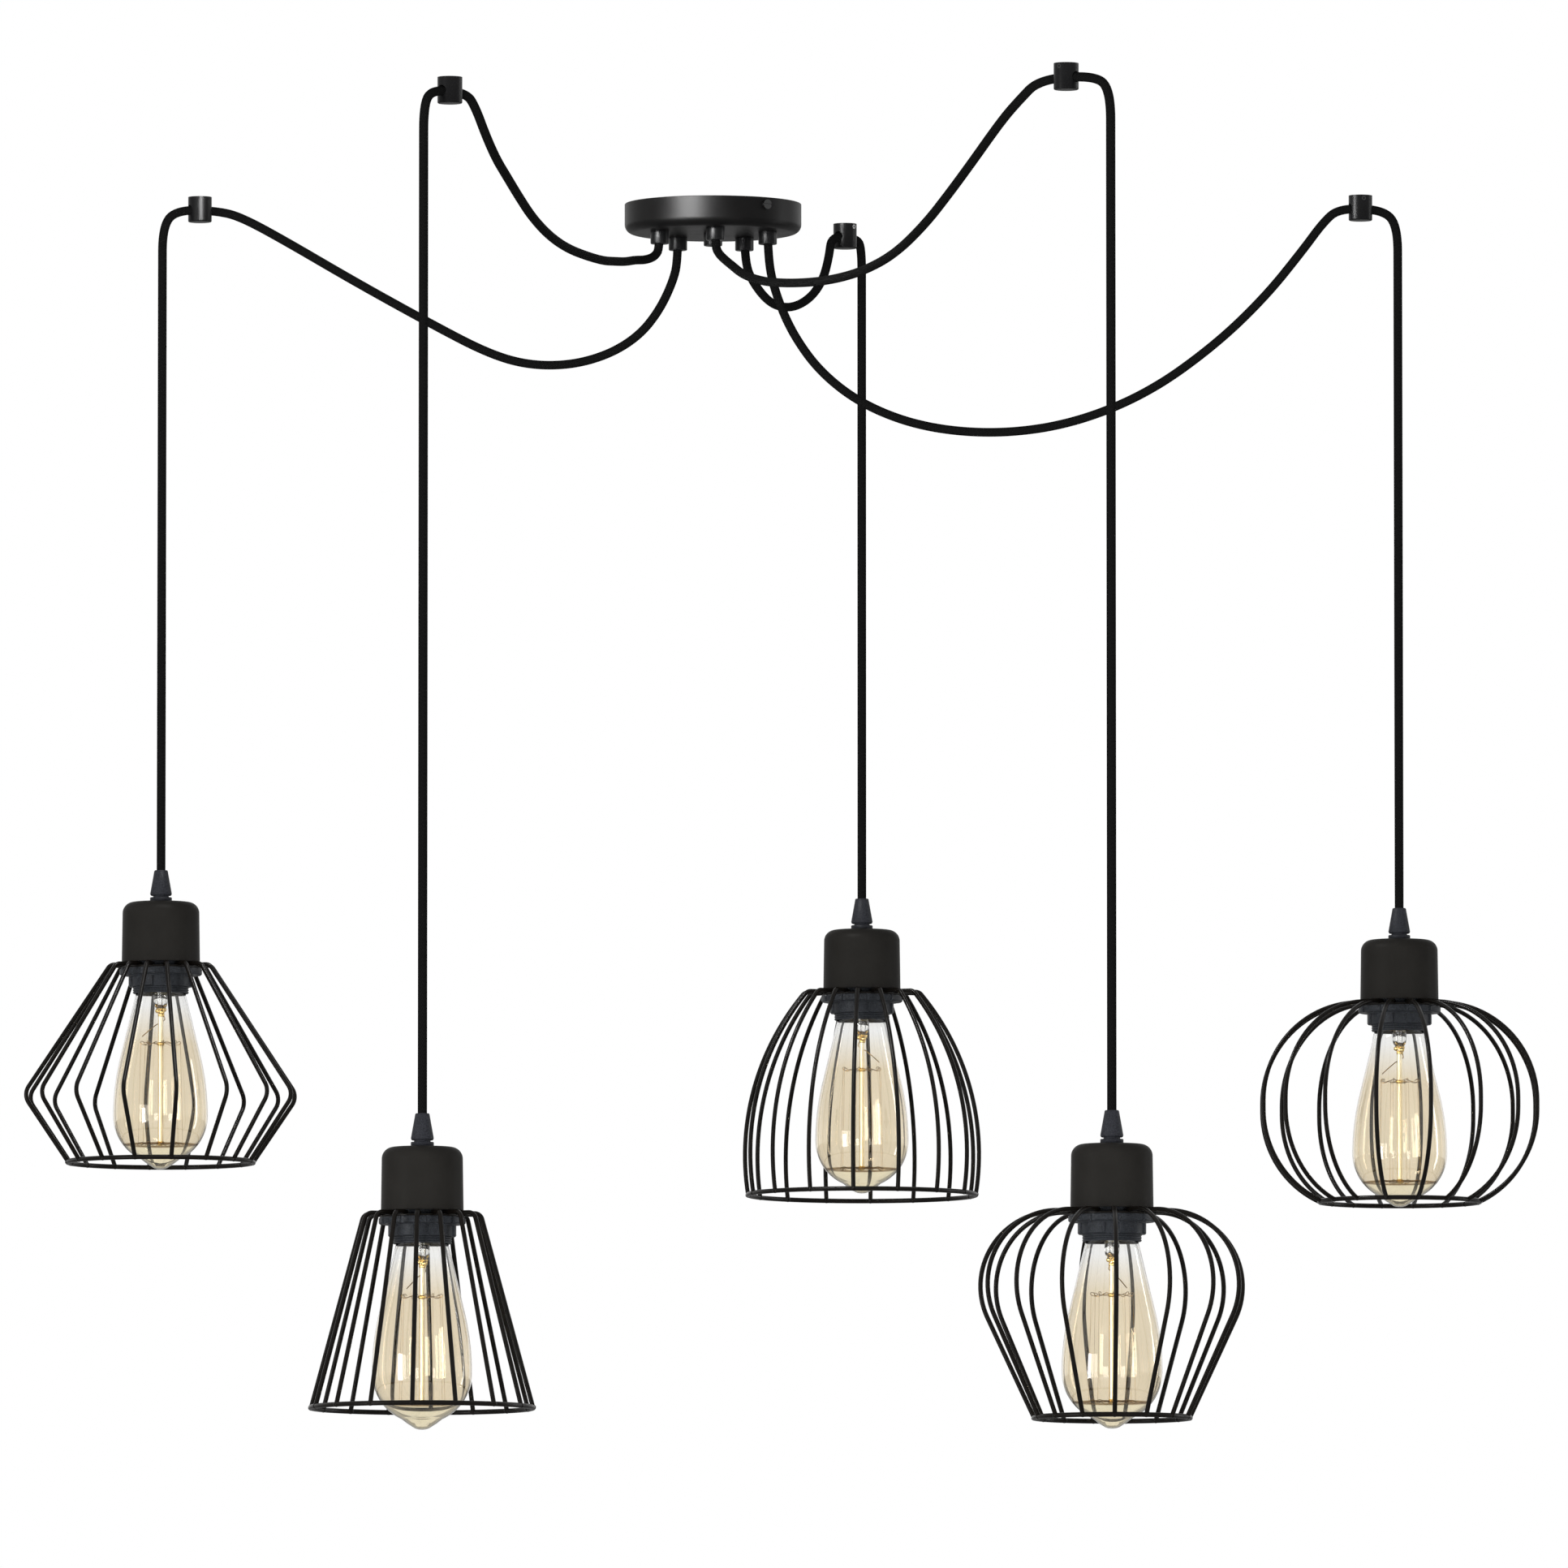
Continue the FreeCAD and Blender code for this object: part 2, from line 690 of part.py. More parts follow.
def swung(centre, radius, first, last):
    """Arc in a wire's plane between two bearings."""
    ends = [circle_point(centre, radius, bearing) for bearing in (first, (first + last) / 2, last)]
    return Part.Arc(*ends).toShape()


def dome_wire():
    """One long curve from a tight shoulder to the hoop."""
    centre = flat(plate_r + dome_belly_out - dome_bend_r, dome_belly_z)
    shoulder_z = -wire_d / 2 - wire_bend_r
    inner = dome_bend_r - wire_bend_r
    shoulder = math.degrees(math.asin((shoulder_z - centre.z) / inner))
    bend = circle_point(centre, inner, shoulder)
    low = -math.degrees(math.asin((dome_hoop_z - dome_belly_z) / dome_bend_r))
    edges = [
        Part.LineSegment(top_run(), circle_point(bend, wire_bend_r, 90)).toShape(),
        swung(bend, wire_bend_r, 90, shoulder),
        swung(centre, dome_bend_r, shoulder, low),
    ]
    return edges, circle_point(centre, dome_bend_r, low)


def pumpkin_wire():
    """Round shoulder that runs on straight down and in to the hoop."""
    centre = flat(plate_r + pumpkin_out, wire_d / 2 + pumpkin_bend_r)
    hoop = flat(plate_r + pumpkin_hoop_out, pumpkin_hoop_z)
    away = hoop - centre
    tangent = math.degrees(math.atan2(away.z, away.x) + math.acos(pumpkin_bend_r / away.Length))
    edges = [
        Part.LineSegment(top_run(), circle_point(centre, pumpkin_bend_r, 90)).toShape(),
        swung(centre, pumpkin_bend_r, 90, tangent),
        Part.LineSegment(circle_point(centre, pumpkin_bend_r, tangent), hoop).toShape(),
    ]
    return edges, hoop


def globe_wire():
    """Two quarter rounds joined by a short upright belly."""
    high = flat(plate_r, wire_d / 2 + globe_bend_r)
    low = high - UP * globe_belly_h
    foot = -math.degrees(math.asin(globe_hoop_share))
    edges = [
        Part.LineSegment(top_run(), circle_point(high, globe_bend_r, 90)).toShape(),
        swung(high, globe_bend_r, 90, 0),
        Part.LineSegment(circle_point(high, globe_bend_r, 0), circle_point(low, globe_bend_r, 0)).toShape(),
        swung(low, globe_bend_r, 0, foot),
    ]
    return edges, circle_point(low, globe_bend_r, foot)


# Each lamp's wire form, how many wires it has, and the bearing of its first wire
cages = (
    (diamond_wire, diamond_wire_count, diamond_first_bearing),
    (cone_wire, cone_wire_count, cone_first_bearing),
    (dome_wire, dome_wire_count, dome_first_bearing),
    (pumpkin_wire, pumpkin_wire_count, pumpkin_first_bearing),
    (globe_wire, globe_wire_count, globe_first_bearing),
)


def cage(lamp):
    """Welded cage: the plate that the lampholder clamps, its wires and the bottom hoop."""
    wire_form, count, first = cages[lamp]
    edges, hoop = wire_form()
    wire = tube(edges, wire_d)
    plate = column(plate_r, ring_top_z, plate_top_z)
    plate = plate.cut(column(plate_hole_d / 2, ring_top_z - cut_over, plate_top_z + cut_over))
    ring = Part.makeTorus(hoop.x, hoop_d / 2, V(0, 0, hoop.z))
    wires = [spun(wire, first + 360 * place / count) for place in range(count)]
    return plate.multiFuse(wires + [spun(ring, first + 180 / count)])


def bulb_outline(wall):
    """Steps of the envelope from neck to nose, drawn in by a wall, below the lampholder's lip."""
    belly = lip_z - bulb_belly_z
    belly_r = bulb_d / 2 - wall
    flank_r = bulb_flank_d / 2 - wall
    flank_z = lip_z - bulb_flank_z
    flank_bend = math.degrees(math.asin((bulb_belly_z - bulb_flank_z) / bulb_flank_bend_r))
    heel = -math.degrees(math.acos(bulb_heel_d / bulb_d))
    heel_r = belly_r * math.cos(math.radians(heel))
    heel_z = belly + belly_r * math.sin(math.radians(heel))
    nose_r = bulb_nose_d / 2 - wall / 2
    nose_z = lip_z - bulb_nose_z + wall
    tip = lip_z - bulb_l + wall
    return [
        (bulb_neck_d / 2 - wall, lip_z),
        (flank_r, flank_z),
        arc_to(belly_r - bulb_flank_bend_r, belly, bulb_flank_bend_r, flank_bend / 2, belly_r, belly),
        arc_to(0, belly, belly_r, heel / 2, heel_r, heel_z),
        (nose_r, nose_z),
        (nose_r * 0.55, (nose_z + tip * 3) / 4, 0, tip),
    ]


def bulb_glass():
    """Pear-shaped envelope, open at the stalk that sits in the cap."""
    stalk_r = bulb_stalk_d / 2 - cap_skirt_gap
    shoulder = lip_z + bulb_shoulder_h
    stalk_top = shoulder + bulb_stalk_h
    outer = [(stalk_r, stalk_top), (stalk_r, shoulder)] + bulb_outline(0)
    inner = [(stalk_r - bulb_wall, stalk_top), (stalk_r - bulb_wall, shoulder)] + bulb_outline(bulb_wall)
    return turned(*(outer + backwards(inner)))


def bulb_cap():
    """Screw cap with rounded threads, an insulating end and its centre contact."""
    crest_r = cap_d / 2
    root_r = cap_root_d / 2
    low = lip_z + bulb_shoulder_h
    threads_top = low + cap_pitch * cap_threads
    hollow_r = bulb_stalk_d / 2
    insulator = low + cap_h - cap_contact_h
    steps = [(hollow_r, low), (root_r, low)]
    for turn in range(cap_threads):
        foot = low + cap_pitch * turn
        steps.append((root_r, foot + cap_pitch / 4))
        steps.append((crest_r, foot + cap_pitch / 2, root_r, foot + cap_pitch * 3 / 4))
    steps += [
        (root_r, threads_top), (cap_end_d / 2 + cap_contact_h, insulator),
        (cap_contact_d / 2, insulator), (cap_contact_d / 2, insulator + cap_contact_h),
        (0, insulator + cap_contact_h), (0, threads_top), (hollow_r, threads_top),
    ]
    return turned(*steps)


def bulb_mount():
    """Glass stem, its rod, and the filament strands between two crowns of support wires."""
    stalk_r = bulb_stalk_d / 2 - cap_skirt_gap - bulb_wall
    stem_r = stem_d / 2
    rod_r = rod_d / 2
    flare = lip_z + bulb_shoulder_h
    tip = lip_z - stem_tip_z
    stem = turned(
        (0, flare + stem_flare_h), (stalk_r, flare + stem_flare_h), (stalk_r, flare + stem_flare_h - bead_h),
        (stem_r, flare - bead_h), (stem_r, tip + stem_r),
        arc_to(0, tip + stem_r, stem_r, -45, 0, tip),
    )
    rod = column(rod_r, lip_z - filament_foot_z - bead_h, tip + stem_r)
    pieces = [rod]
    for depth in (filament_top_z, filament_foot_z):
        level = lip_z - depth
        pieces.append(column(bead_d / 2, level - bead_h / 2, level + bead_h / 2))
        for place in range(filament_count):
            out = polar(filament_circle_d / 2, 360 * place / filament_count) + UP * level
            pieces.append(bar(filament_d / 2, UP * level, out))
    for place in range(filament_count):
        out = polar(filament_circle_d / 2, 360 * place / filament_count)
        pieces.append(column(filament_d / 2 * 1.2, lip_z - filament_foot_z - filament_d,
                             lip_z - filament_top_z + filament_d, out))
    return stem.multiFuse(pieces)


def save(name, shape):
    """Write one node and say how large it is."""
    print(name, "solids", len(shape.Solids), "volume", round(shape.Volume, 1), "valid", shape.isValid())
    shape.exportStep("parts/%s.step" % name)


def main():
    os.makedirs("parts", exist_ok=True)
    fixed = (canopy_cup, mounting_bracket, side_screws, terminal_block, canopy_wiring, cord_glands,
             gland_nuts, cord_holders, holder_bases, holder_screws)
    for piece in fixed:
        save(piece.__name__, piece())
    alike = (cord_grip, cup, lampholder, shade_ring, bulb_glass, bulb_mount, bulb_cap)
    shared = {piece.__name__: piece() for piece in alike}
    for lamp in range(len(holder_places)):
        number = lamp + 1
        save("swag_cord_%d" % number, swag_cord(lamp))
        save("drop_cord_%d" % number, drop_cord(lamp))
        place = lamp_place(lamp)
        save("cage_%d" % number, moved(cage(lamp), place))
        for name, shape in shared.items():
            save("%s_%d" % (name, number), moved(shape, place))


main()
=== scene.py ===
import json
import math

import bmesh
import bpy
from mathutils import Matrix, Vector


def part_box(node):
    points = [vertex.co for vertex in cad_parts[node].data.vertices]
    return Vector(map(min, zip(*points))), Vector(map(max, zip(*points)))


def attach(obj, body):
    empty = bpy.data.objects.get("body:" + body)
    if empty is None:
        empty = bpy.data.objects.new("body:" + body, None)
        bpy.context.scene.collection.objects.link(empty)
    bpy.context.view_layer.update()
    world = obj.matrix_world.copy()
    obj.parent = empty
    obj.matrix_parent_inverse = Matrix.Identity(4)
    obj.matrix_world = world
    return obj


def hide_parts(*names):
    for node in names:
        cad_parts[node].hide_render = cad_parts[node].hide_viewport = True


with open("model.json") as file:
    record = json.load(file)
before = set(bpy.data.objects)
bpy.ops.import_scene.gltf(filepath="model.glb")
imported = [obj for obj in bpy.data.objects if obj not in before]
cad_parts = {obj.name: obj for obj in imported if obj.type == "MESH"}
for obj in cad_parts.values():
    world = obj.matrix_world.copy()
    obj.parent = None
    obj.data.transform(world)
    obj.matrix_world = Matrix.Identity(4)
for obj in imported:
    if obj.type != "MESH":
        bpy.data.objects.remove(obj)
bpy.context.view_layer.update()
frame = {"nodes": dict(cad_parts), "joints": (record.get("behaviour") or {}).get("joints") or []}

# Spider pendant light. Lengths of pieces are in millimetres and are brought to metres by MM.
# Each lamp's pieces are drawn about its own axis, with z = 0 at the rim of its cup, and the ceiling's
# with z = 0 at the ceiling. GLAND_R, CUP_EDGE_R, GRIP_FOOT_R, GRIP_DISC_H and the ring's notches follow
# the photograph a little closer than the solids do.
MM = 0.001
LAMPS = (1, 2, 3, 4, 5)

# The photograph's camera: where it stands in metres, how many degrees it looks up, its lens and film in
# millimetres, and how far it sees in metres
CAMERA_PLACE = (0.0482, -14.1248, -1.4597)
CAMERA_PITCH = 4.312
CAMERA_LENS = 480.0
SENSOR = 36.0
CAMERA_REACH = 200.0

# Ceiling pieces. SWAG_BEARINGS is where each cord's gland stands, in degrees.
CANOPY_R = 60.0
CANOPY_H = 20.0
CANOPY_WALL = 1.0
CANOPY_EDGE_R = 6.0
CANOPY_LIP = 0.3
GLAND_CIRCLE_R = 38.5
SWAG_BEARINGS = {1: 128.5, 2: 200.5, 3: 56.5, 4: 272.5, 5: 344.5}
GLAND_R = 6.3
GLAND_H = 8.5
GLAND_NECK_R = 5.0
GLAND_TOP_Z = -14.0
GLAND_BORE_R = 3.2
HOLDER_R = 8.0
HOLDER_H = 17.0
HOLDER_EDGE_R = 0.9
HOLDER_DRILL_PAST = 3.0
HOLDER_BORE_R = 3.5
HOLDER_BORE_Z = -9.0
BASE_RECESS_R = 6.0
BASE_RECESS_H = 4.5

# Cords. The braid's pitch is in metres.
CORD_D = 6.0
CORD_SIDES = 20
CORD_STEP = 2.0
BRAID_PITCH = 0.0052
BRAID_CARRIERS = 8

# Lamp pieces. The notches' widths are in millimetres and their first bearings in degrees.
CUP_RIM_R = 26.4
CUP_TOP_R = 25.9
CUP_H = 41.0
CUP_WALL = 1.0
CUP_EDGE_R = 7.5
NECK_R = 5.0
NECK_TOP = 50.0
GRIP_H = 21.5
GRIP_TOP_R = 4.5
GRIP_FOOT_R = 7.4
GRIP_DISC_H = 3.2
GRIP_WAIST_R = 5.3
GRIP_WAIST_H = 1.1
GRIP_BORE_R = 3.2
GRIP_BORE_MOUTH_R = 3.3
BODY_R = 18.85
LIP_Z = -20.9
MOUTH_R = 17.3
MOUTH_H = 3.0
SOCKET_R = 13.5
SOCKET_TOP = 7.6
SOCKET_FLOOR_T = 3.0
THREAD_PITCH = 1.6
THREAD_DEPTH = 0.45
THREAD_TOP_Z = -1.0
HOUSING_TOP_Z = 28.0
HOUSING_CONE_R = 8.0
HOUSING_CONE_Z = 36.0
NECK_FOOT_Z = 40.0
NECK_BORE_R = 3.3
ROOM_R = 16.35
ROOM_TOP_Z = 26.0
RING_TOP_Z = -4.0
RING_FLANGE_R = 27.75
RING_FLANGE_H = 4.5
RING_COLLAR_R = 21.75
RING_COLLAR_H = 7.9
RING_RECESSES = 6
RING_RECESS_W = 9.8
RING_RECESS_DEPTH = 1.2
RING_FIRST_RECESS = -90.0
RING_NOTCHES = 10
RING_NOTCH_W = 2.4
RING_NOTCH_DEPTH = 1.0
RING_FIRST_NOTCH = -81.0
NOTCH_SIDE = 0.012  # radians that a notch's side takes

# Cages. Beads of weld have a radius and a stretch; the plate's lie PLATE_BEAD_IN in from its edge.
# A corner is its radius, height and bend radius.
WIRE_R = 1.5
WIRE_SIDES = 14
HOOP_R = 1.6
HOOP_STEPS = 160
HOOP_BEAD_R = 2.1
HOOP_BEAD_STRETCH = (0.95, 1.25, 0.85)
PLATE_R = 27.0
PLATE_HOLE_R = 20.25
PLATE_TOP_Z = -2.8
PLATE_T = 1.2
PLATE_EDGE = 0.3
PLATE_BEAD_R = 1.7
PLATE_BEAD_IN = 2.5
PLATE_BEAD_STRETCH = (1.3, 1.35, 0.4)
WIRE_START_R = 22.0
WIRE_BEND_R = 5.0
DIAMOND_CORNERS = ((WIRE_START_R, -WIRE_R, 0), (34.2, -WIRE_R, WIRE_BEND_R), (93.1, -89.7, 10.0),
                   (62.7, -134.6, 0))
CONE_CORNERS = ((WIRE_START_R, -WIRE_R, 0), (37.3, -WIRE_R, WIRE_BEND_R), (71.0, -125.3, 0))
DOME_BEND_R = 172.0
DOME_BULGE = 53.2
DOME_WIDEST_Z = -113.0
DOME_HOOP_Z = -140.3
PUMPKIN_BEND_R = 47.3
PUMPKIN_BEND_OUT = 9.3
PUMPKIN_HOOP_OUT = 22.5
PUMPKIN_HOOP_Z = -132.5
GLOBE_BEND_R = 67.0
GLOBE_BELLY = 6.0
GLOBE_HOOP_Z = -135.8

# Bulb, below the lampholder's lip
BULB_NECK_R = 16.8
BULB_FLANK_R = 27.0
BULB_FLANK_Z = 42.0
BULB_R = 32.0
BULB_BELLY_Z = 82.5
BULB_FLANK_BEND_R = 166.5
BULB_HEEL_R = 13.0
BULB_NOSE_R = 5.5
BULB_NOSE_Z = 117.0
BULB_L = 118.5
BULB_WALL = 0.9
BULB_STALK_R = 11.7
BULB_SHOULDER = 2.5
BULB_STALK_H = 10.0

# Inside the bulb, below the lip. BEADS are x, y, height over the stem's tip and radius; LEAD_LINE is x, y
# and depth under the tip; the turns are in degrees.
STEM_R = 4.8
STEM_TIP = 11.0
CROWN_TOP = 34.0
CROWN_FOOT = 101.0
CROWN_TOP_R = 13.8
CROWN_FOOT_R = 15.5
CROWN_COUNT = 8
ROD_R = 1.75
SUPPORT_R = 0.22
STRAND_R = 0.1
LEAD_R = 0.34
BEADS = ((0, 0, 1.5, 2.6), (1.9, 0.4, 0.2, 1.9), (-1.7, 0.9, -0.6, 1.8), (0.4, -1.8, -1.6, 1.9),
         (-0.6, 1.6, 2.4, 1.7), (0.3, 0.2, -3.4, 2.1), (2.6, -0.8, 3.6, 1.1), (-2.7, -0.6, 3.4, 1.1))
BEAD_GROWTH = 1.15
ROD_BEAD_R = 2.4
HOOK_H = 1.3
SUPPORT_SHARES = (0, 0.3, 0.6, 0.8, 0.92, 1.0, 0.97, 0.86, 0.8)
LEAD_LINE = ((2.2, 0, 5.0), (2.8, 0, 7.5), (1.2, 0, 9.0), (-3.0, 0, 11.0), (-8.0, 0, 15.0), (-12.5, 0, 19.0))
BULB_TURNS = {1: 8.0, 2: 31.0, 3: 17.0, 4: 52.0, 5: 25.0}
LEAD_TURNS = {1: 0.0, 2: 40.0, 3: 160.0, 4: 220.0, 5: 20.0}

# Studio, in metres, degrees and watts: each light is its name, what it faces, azimuth, elevation, distance,
# width, height and power. The boxes give the plain level; the windows show only in glossy surfaces.
LAMPS_MIDDLE = (0.05, -0.35, -0.45)
CANOPY_MIDDLE = (0.0, 0.0, -0.01)
WORLD_LEVEL = 0.35
FLOOR_R = 60.0
FLOOR_Z = -2.4
FLOOR_GREY = 0.86
BOXES = (
    ("box_left", LAMPS_MIDDLE, -44.0, -9.0, 7.0, 3.1, 3.7, 360.0),
    ("box_front_left", LAMPS_MIDDLE, -13.0, -9.0, 7.0, 1.3, 2.3, 138.0),
    ("box_front_right", LAMPS_MIDDLE, 24.0, -9.0, 7.0, 1.1, 2.3, 230.0),
    ("box_high", LAMPS_MIDDLE, -30.0, 50.0, 5.0, 3.0, 3.0, 25.0),
)
WINDOWS = (
    ("window_left", LAMPS_MIDDLE, -48.0, -8.0, 4.0, 0.7, 1.6, 45.0),
    ("window_mid", LAMPS_MIDDLE, -15.5, -38.0, 4.0, 1.15, 0.75, 42.0),
    ("window_right", LAMPS_MIDDLE, 18.4, -38.0, 4.0, 1.15, 0.75, 42.0),
    ("window_side", LAMPS_MIDDLE, 106.0, -2.0, 4.0, 0.4, 3.2, 28.0),
    ("window_canopy", CANOPY_MIDDLE, -29.0, 6.0, 0.5, 0.25, 0.14, 12.5),
)

# Tints of one wall of the bulb's glass, and how far below the lip each stands in millimetres
GLASS_CLEAR = (0.93, 0.93, 0.92)
GLASS_AMBER = (0.865, 0.80, 0.675)
GLASS_LINE = (0.26, 0.18, 0.09)
GLASS_BOWL = (0.9, 0.85, 0.71)
GLASS_STOPS = ((8, GLASS_CLEAR), (34, GLASS_AMBER), (101.4, GLASS_AMBER), (101.7, GLASS_LINE),
               (102.7, GLASS_LINE), (103.1, GLASS_BOWL))


def arc(centre_r, centre_z, radius, first, last, steps=10):
    """Points of an arc in an outline, from one bearing to another in degrees."""
    points = []
    for step in range(steps + 1):
        turn = math.radians(first + (last - first) * step / steps)
        points.append((centre_r + radius * math.cos(turn), centre_z + radius * math.sin(turn)))
    return points


def polar(radius, bearing):
    """Point at a radius and a bearing in degrees, in millimetres."""
    turn = math.radians(bearing)
    return Vector((radius * math.cos(turn), radius * math.sin(turn), 0))


def add_lathe(mesh, outline, sides=96, closed=True, squeeze=None):
    """Adds a turned form. The outline holds (radius, height) points; squeeze may change a radius by its
    bearing in radians, its own index and its value."""
    rings = []
    for index, (radius, height) in enumerate(outline):
        if radius < 1e-6:
            rings.append([mesh.verts.new((0, 0, height * MM))])
            continue
        ring = []
        for side in range(sides):
            turn = 2 * math.pi * side / sides
            reach = squeeze(turn, index, radius) if squeeze else radius
            corner = (reach * math.cos(turn) * MM, reach * math.sin(turn) * MM, height * MM)
            ring.append(mesh.verts.new(corner))
        rings.append(ring)
    pairs = list(zip(rings, rings[1:]))
    if closed:
        pairs.append((rings[-1], rings[0]))
    for low, high in pairs:
        if len(low) == 1 and len(high) == 1:
            continue
        for side in range(sides):
            after = (side + 1) % sides
            corners = [low[side % len(low)], low[after % len(low)],
                       high[after % len(high)], high[side % len(high)]]
            corners = [v for place, v in enumerate(corners) if v not in corners[:place]]
            mesh.faces.new(corners)


def frames_along(points, closed=False):
    """Two crossing directions square to a line at each of its points, carried along without twist."""
    count = len(points)
    tangents = []
    for place in range(count):
        before = points[place - 1] if closed or place else points[0]
        after = points[(place + 1) % count] if closed or place < count - 1 else points[-1]
        tangents.append((after - before).normalized())
    side = tangents[0].orthogonal().normalized()
    frames = []
    for tangent in tangents:
        side = (side - tangent * side.dot(tangent)).normalized()
        frames.append((side, tangent.cross(side)))
    return frames


def add_tube(mesh, points, radius, sides=14, closed=False, unwrap=None):
    """Adds a round bar along points in metres. unwrap is a UV layer to fill with metres along the bar and
    turns round it."""
    frames = frames_along(points, closed)
    rings = []
    for point, (side, up) in zip(points, frames):
        ring = []
        for step in range(sides):
            turn = 2 * math.pi * step / sides
            ring.append(mesh.verts.new(point + (side * math.cos(turn) + up * math.sin(turn)) * radius))
        rings.append(ring)
    walked = [0.0]
    for before, after in zip(points, points[1:]):
        walked.append(walked[-1] + (after - before).length)
    pairs = list(range(len(rings) - 1)) + ([len(rings) - 1] if closed else [])
    for place in pairs:
        low = rings[place]
        high = rings[(place + 1) % len(rings)]
        for step in range(sides):
            after = (step + 1) % sides
            face = mesh.faces.new((low[step], low[after], high[after], high[step]))
            if unwrap:
                ends = (walked[place], walked[place], walked[place + 1], walked[place + 1])
                turns = (step, step + 1, step + 1, step)
                for loop, along, turned in zip(face.loops, ends, turns):
                    loop[unwrap].uv = (along, turned / sides)
    if not closed:
        mesh.faces.new(list(reversed(rings[0])))
        mesh.faces.new(rings[-1])


def add_blob(mesh, place, radius, stretch=(1, 1, 1), turn=0.0):
    """Adds a small rounded bead at a point in metres."""
    shape = Matrix.Translation(place) @ Matrix.Rotation(turn, 4, "Z")
    shape = shape @ Matrix.Diagonal((stretch[0], stretch[1], stretch[2], 1))
    bmesh.ops.create_icosphere(mesh, subdivisions=2, radius=radius * MM, matrix=shape)


def finished(mesh, name, material, body, nodes=(), place=(0, 0, 0), sharp=40):
    """Turns a mesh into a piece: shaded smooth with sharp edges kept, painted and riding its body."""
    bmesh.ops.recalc_face_normals(mesh, faces=mesh.faces)
    data = bpy.data.meshes.new(name)
    mesh.to_mesh(data)
    mesh.free()
    for face in data.polygons:
        face.use_smooth = True
    data.set_sharp_from_angle(angle=math.radians(sharp))
    data.materials.append(material)
    piece = bpy.data.objects.new(name, data)
    piece.location = place
    bpy.context.scene.collection.objects.link(piece)
    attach(piece, body)
    if nodes:
        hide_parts(*nodes)
    return piece


def lamp_piece(mesh, kind, lamp, paint, node, sharp=40, body="lamp"):
    """Finishes a piece of one lamp, drawn about the lamp's own axis. node is the solid that it replaces,
    or None."""
    nodes = ["%s_%d" % (node, lamp)] if node else ()
    finished(mesh, "%s_%d" % (kind, lamp), PAINTS[paint], "%s_%d" % (body, lamp), nodes,
             lamp_place(lamp), sharp)


class Paint:
    """One material and short ways to wire its nodes."""

    def __init__(self, name, colour, roughness, metallic=0.0):
        self.material = bpy.data.materials.new(name)
        self.material.use_nodes = True
        self.tree = self.material.node_tree
        self.shader = self.tree.nodes["Principled BSDF"]
        self.set("Base Color", (*colour, 1))
        self.set("Roughness", roughness)
        self.set("Metallic", metallic)

    def set(self, socket, value):
        self.shader.inputs[socket].default_value = value

    def node(self, kind, **values):
        made = self.tree.nodes.new(kind)
        for name, value in values.items():
            setattr(made, name, value)
        return made

    def link(self, output, target):
        self.tree.links.new(output, target)

    def math(self, operation, first, second=None):
        """Math node on two values or sockets."""
        made = self.node("ShaderNodeMath", operation=operation)
        for socket, value in zip(made.inputs, (first, second)):
            if value is None:
                continue
            if isinstance(value, (int, float)):
                socket.default_value = value
            else:
                self.link(value, socket)
        return made.outputs[0]

    def noise(self, size, detail=2.0, roughness=0.5):
        """Noise in the object's own space, by the size of its grain in millimetres."""
        space = self.node("ShaderNodeTexCoord").outputs["Object"]
        made = self.node("ShaderNodeTexNoise")
        made.inputs["Scale"].default_value = 1 / (size * MM)
        made.inputs["Detail"].default_value = detail
        made.inputs["Roughness"].default_value = roughness
        self.link(space, made.inputs["Vector"])
        return made.outputs["Fac"]

    def ramp(self, factor, low, high, start=0.0, end=1.0):
        """Colour between two colours by a factor."""
        made = self.node("ShaderNodeValToRGB")
        made.color_ramp.elements[0].position = start
        made.color_ramp.elements[0].color = (*low, 1)
        made.color_ramp.elements[1].position = end
        made.color_ramp.elements[1].color = (*high, 1)
        self.link(factor, made.inputs["Fac"])
        return made.outputs["Color"]

    def spread(self, factor, low, high):
        """A factor from 0 to 1 brought to a range."""
        made = self.node("ShaderNodeMapRange")
        made.inputs["To Min"].default_value = low
        made.inputs["To Max"].default_value = high
        self.link(factor, made.inputs["Value"])
        return made.outputs["Result"]

    def bump(self, height, depth):
        """Bump by a height from 0 to 1, its depth in millimetres."""
        made = self.node("ShaderNodeBump")
        made.inputs["Strength"].default_value = 1.0
        made.inputs["Distance"].default_value = depth * MM
        self.link(height, made.inputs["Height"])
        self.link(made.outputs["Normal"], self.shader.inputs["Normal"])


def painted(name, low, high, roughness, specular, grain, depth):
    """Black paint: its colour, roughness and surface waver a little over a fine grain."""
    paint = Paint(name, low, roughness)
    paint.set("Specular IOR Level", specular)
    fine = paint.noise(grain)
    broad = paint.noise(grain * 30)
    paint.link(paint.ramp(broad, low, high, 0.3, 0.7), paint.shader.inputs["Base Color"])
    paint.link(paint.spread(broad, roughness - 0.04, roughness + 0.05), paint.shader.inputs["Roughness"])
    paint.bump(fine, depth)
    return paint.material


def moulded(name, low, high, roughness, specular, grain, depth):
    """Grained plastic: light and dark specks with a matching bump."""
    paint = Paint(name, low, roughness)
    paint.set("Specular IOR Level", specular)
    specks = paint.noise(grain, 3.0, 0.6)
    paint.link(paint.ramp(specks, low, high, 0.35, 0.72), paint.shader.inputs["Base Color"])
    paint.link(paint.spread(specks, roughness - 0.1, roughness + 0.1), paint.shader.inputs["Roughness"])
    paint.bump(specks, depth)
    return paint.material


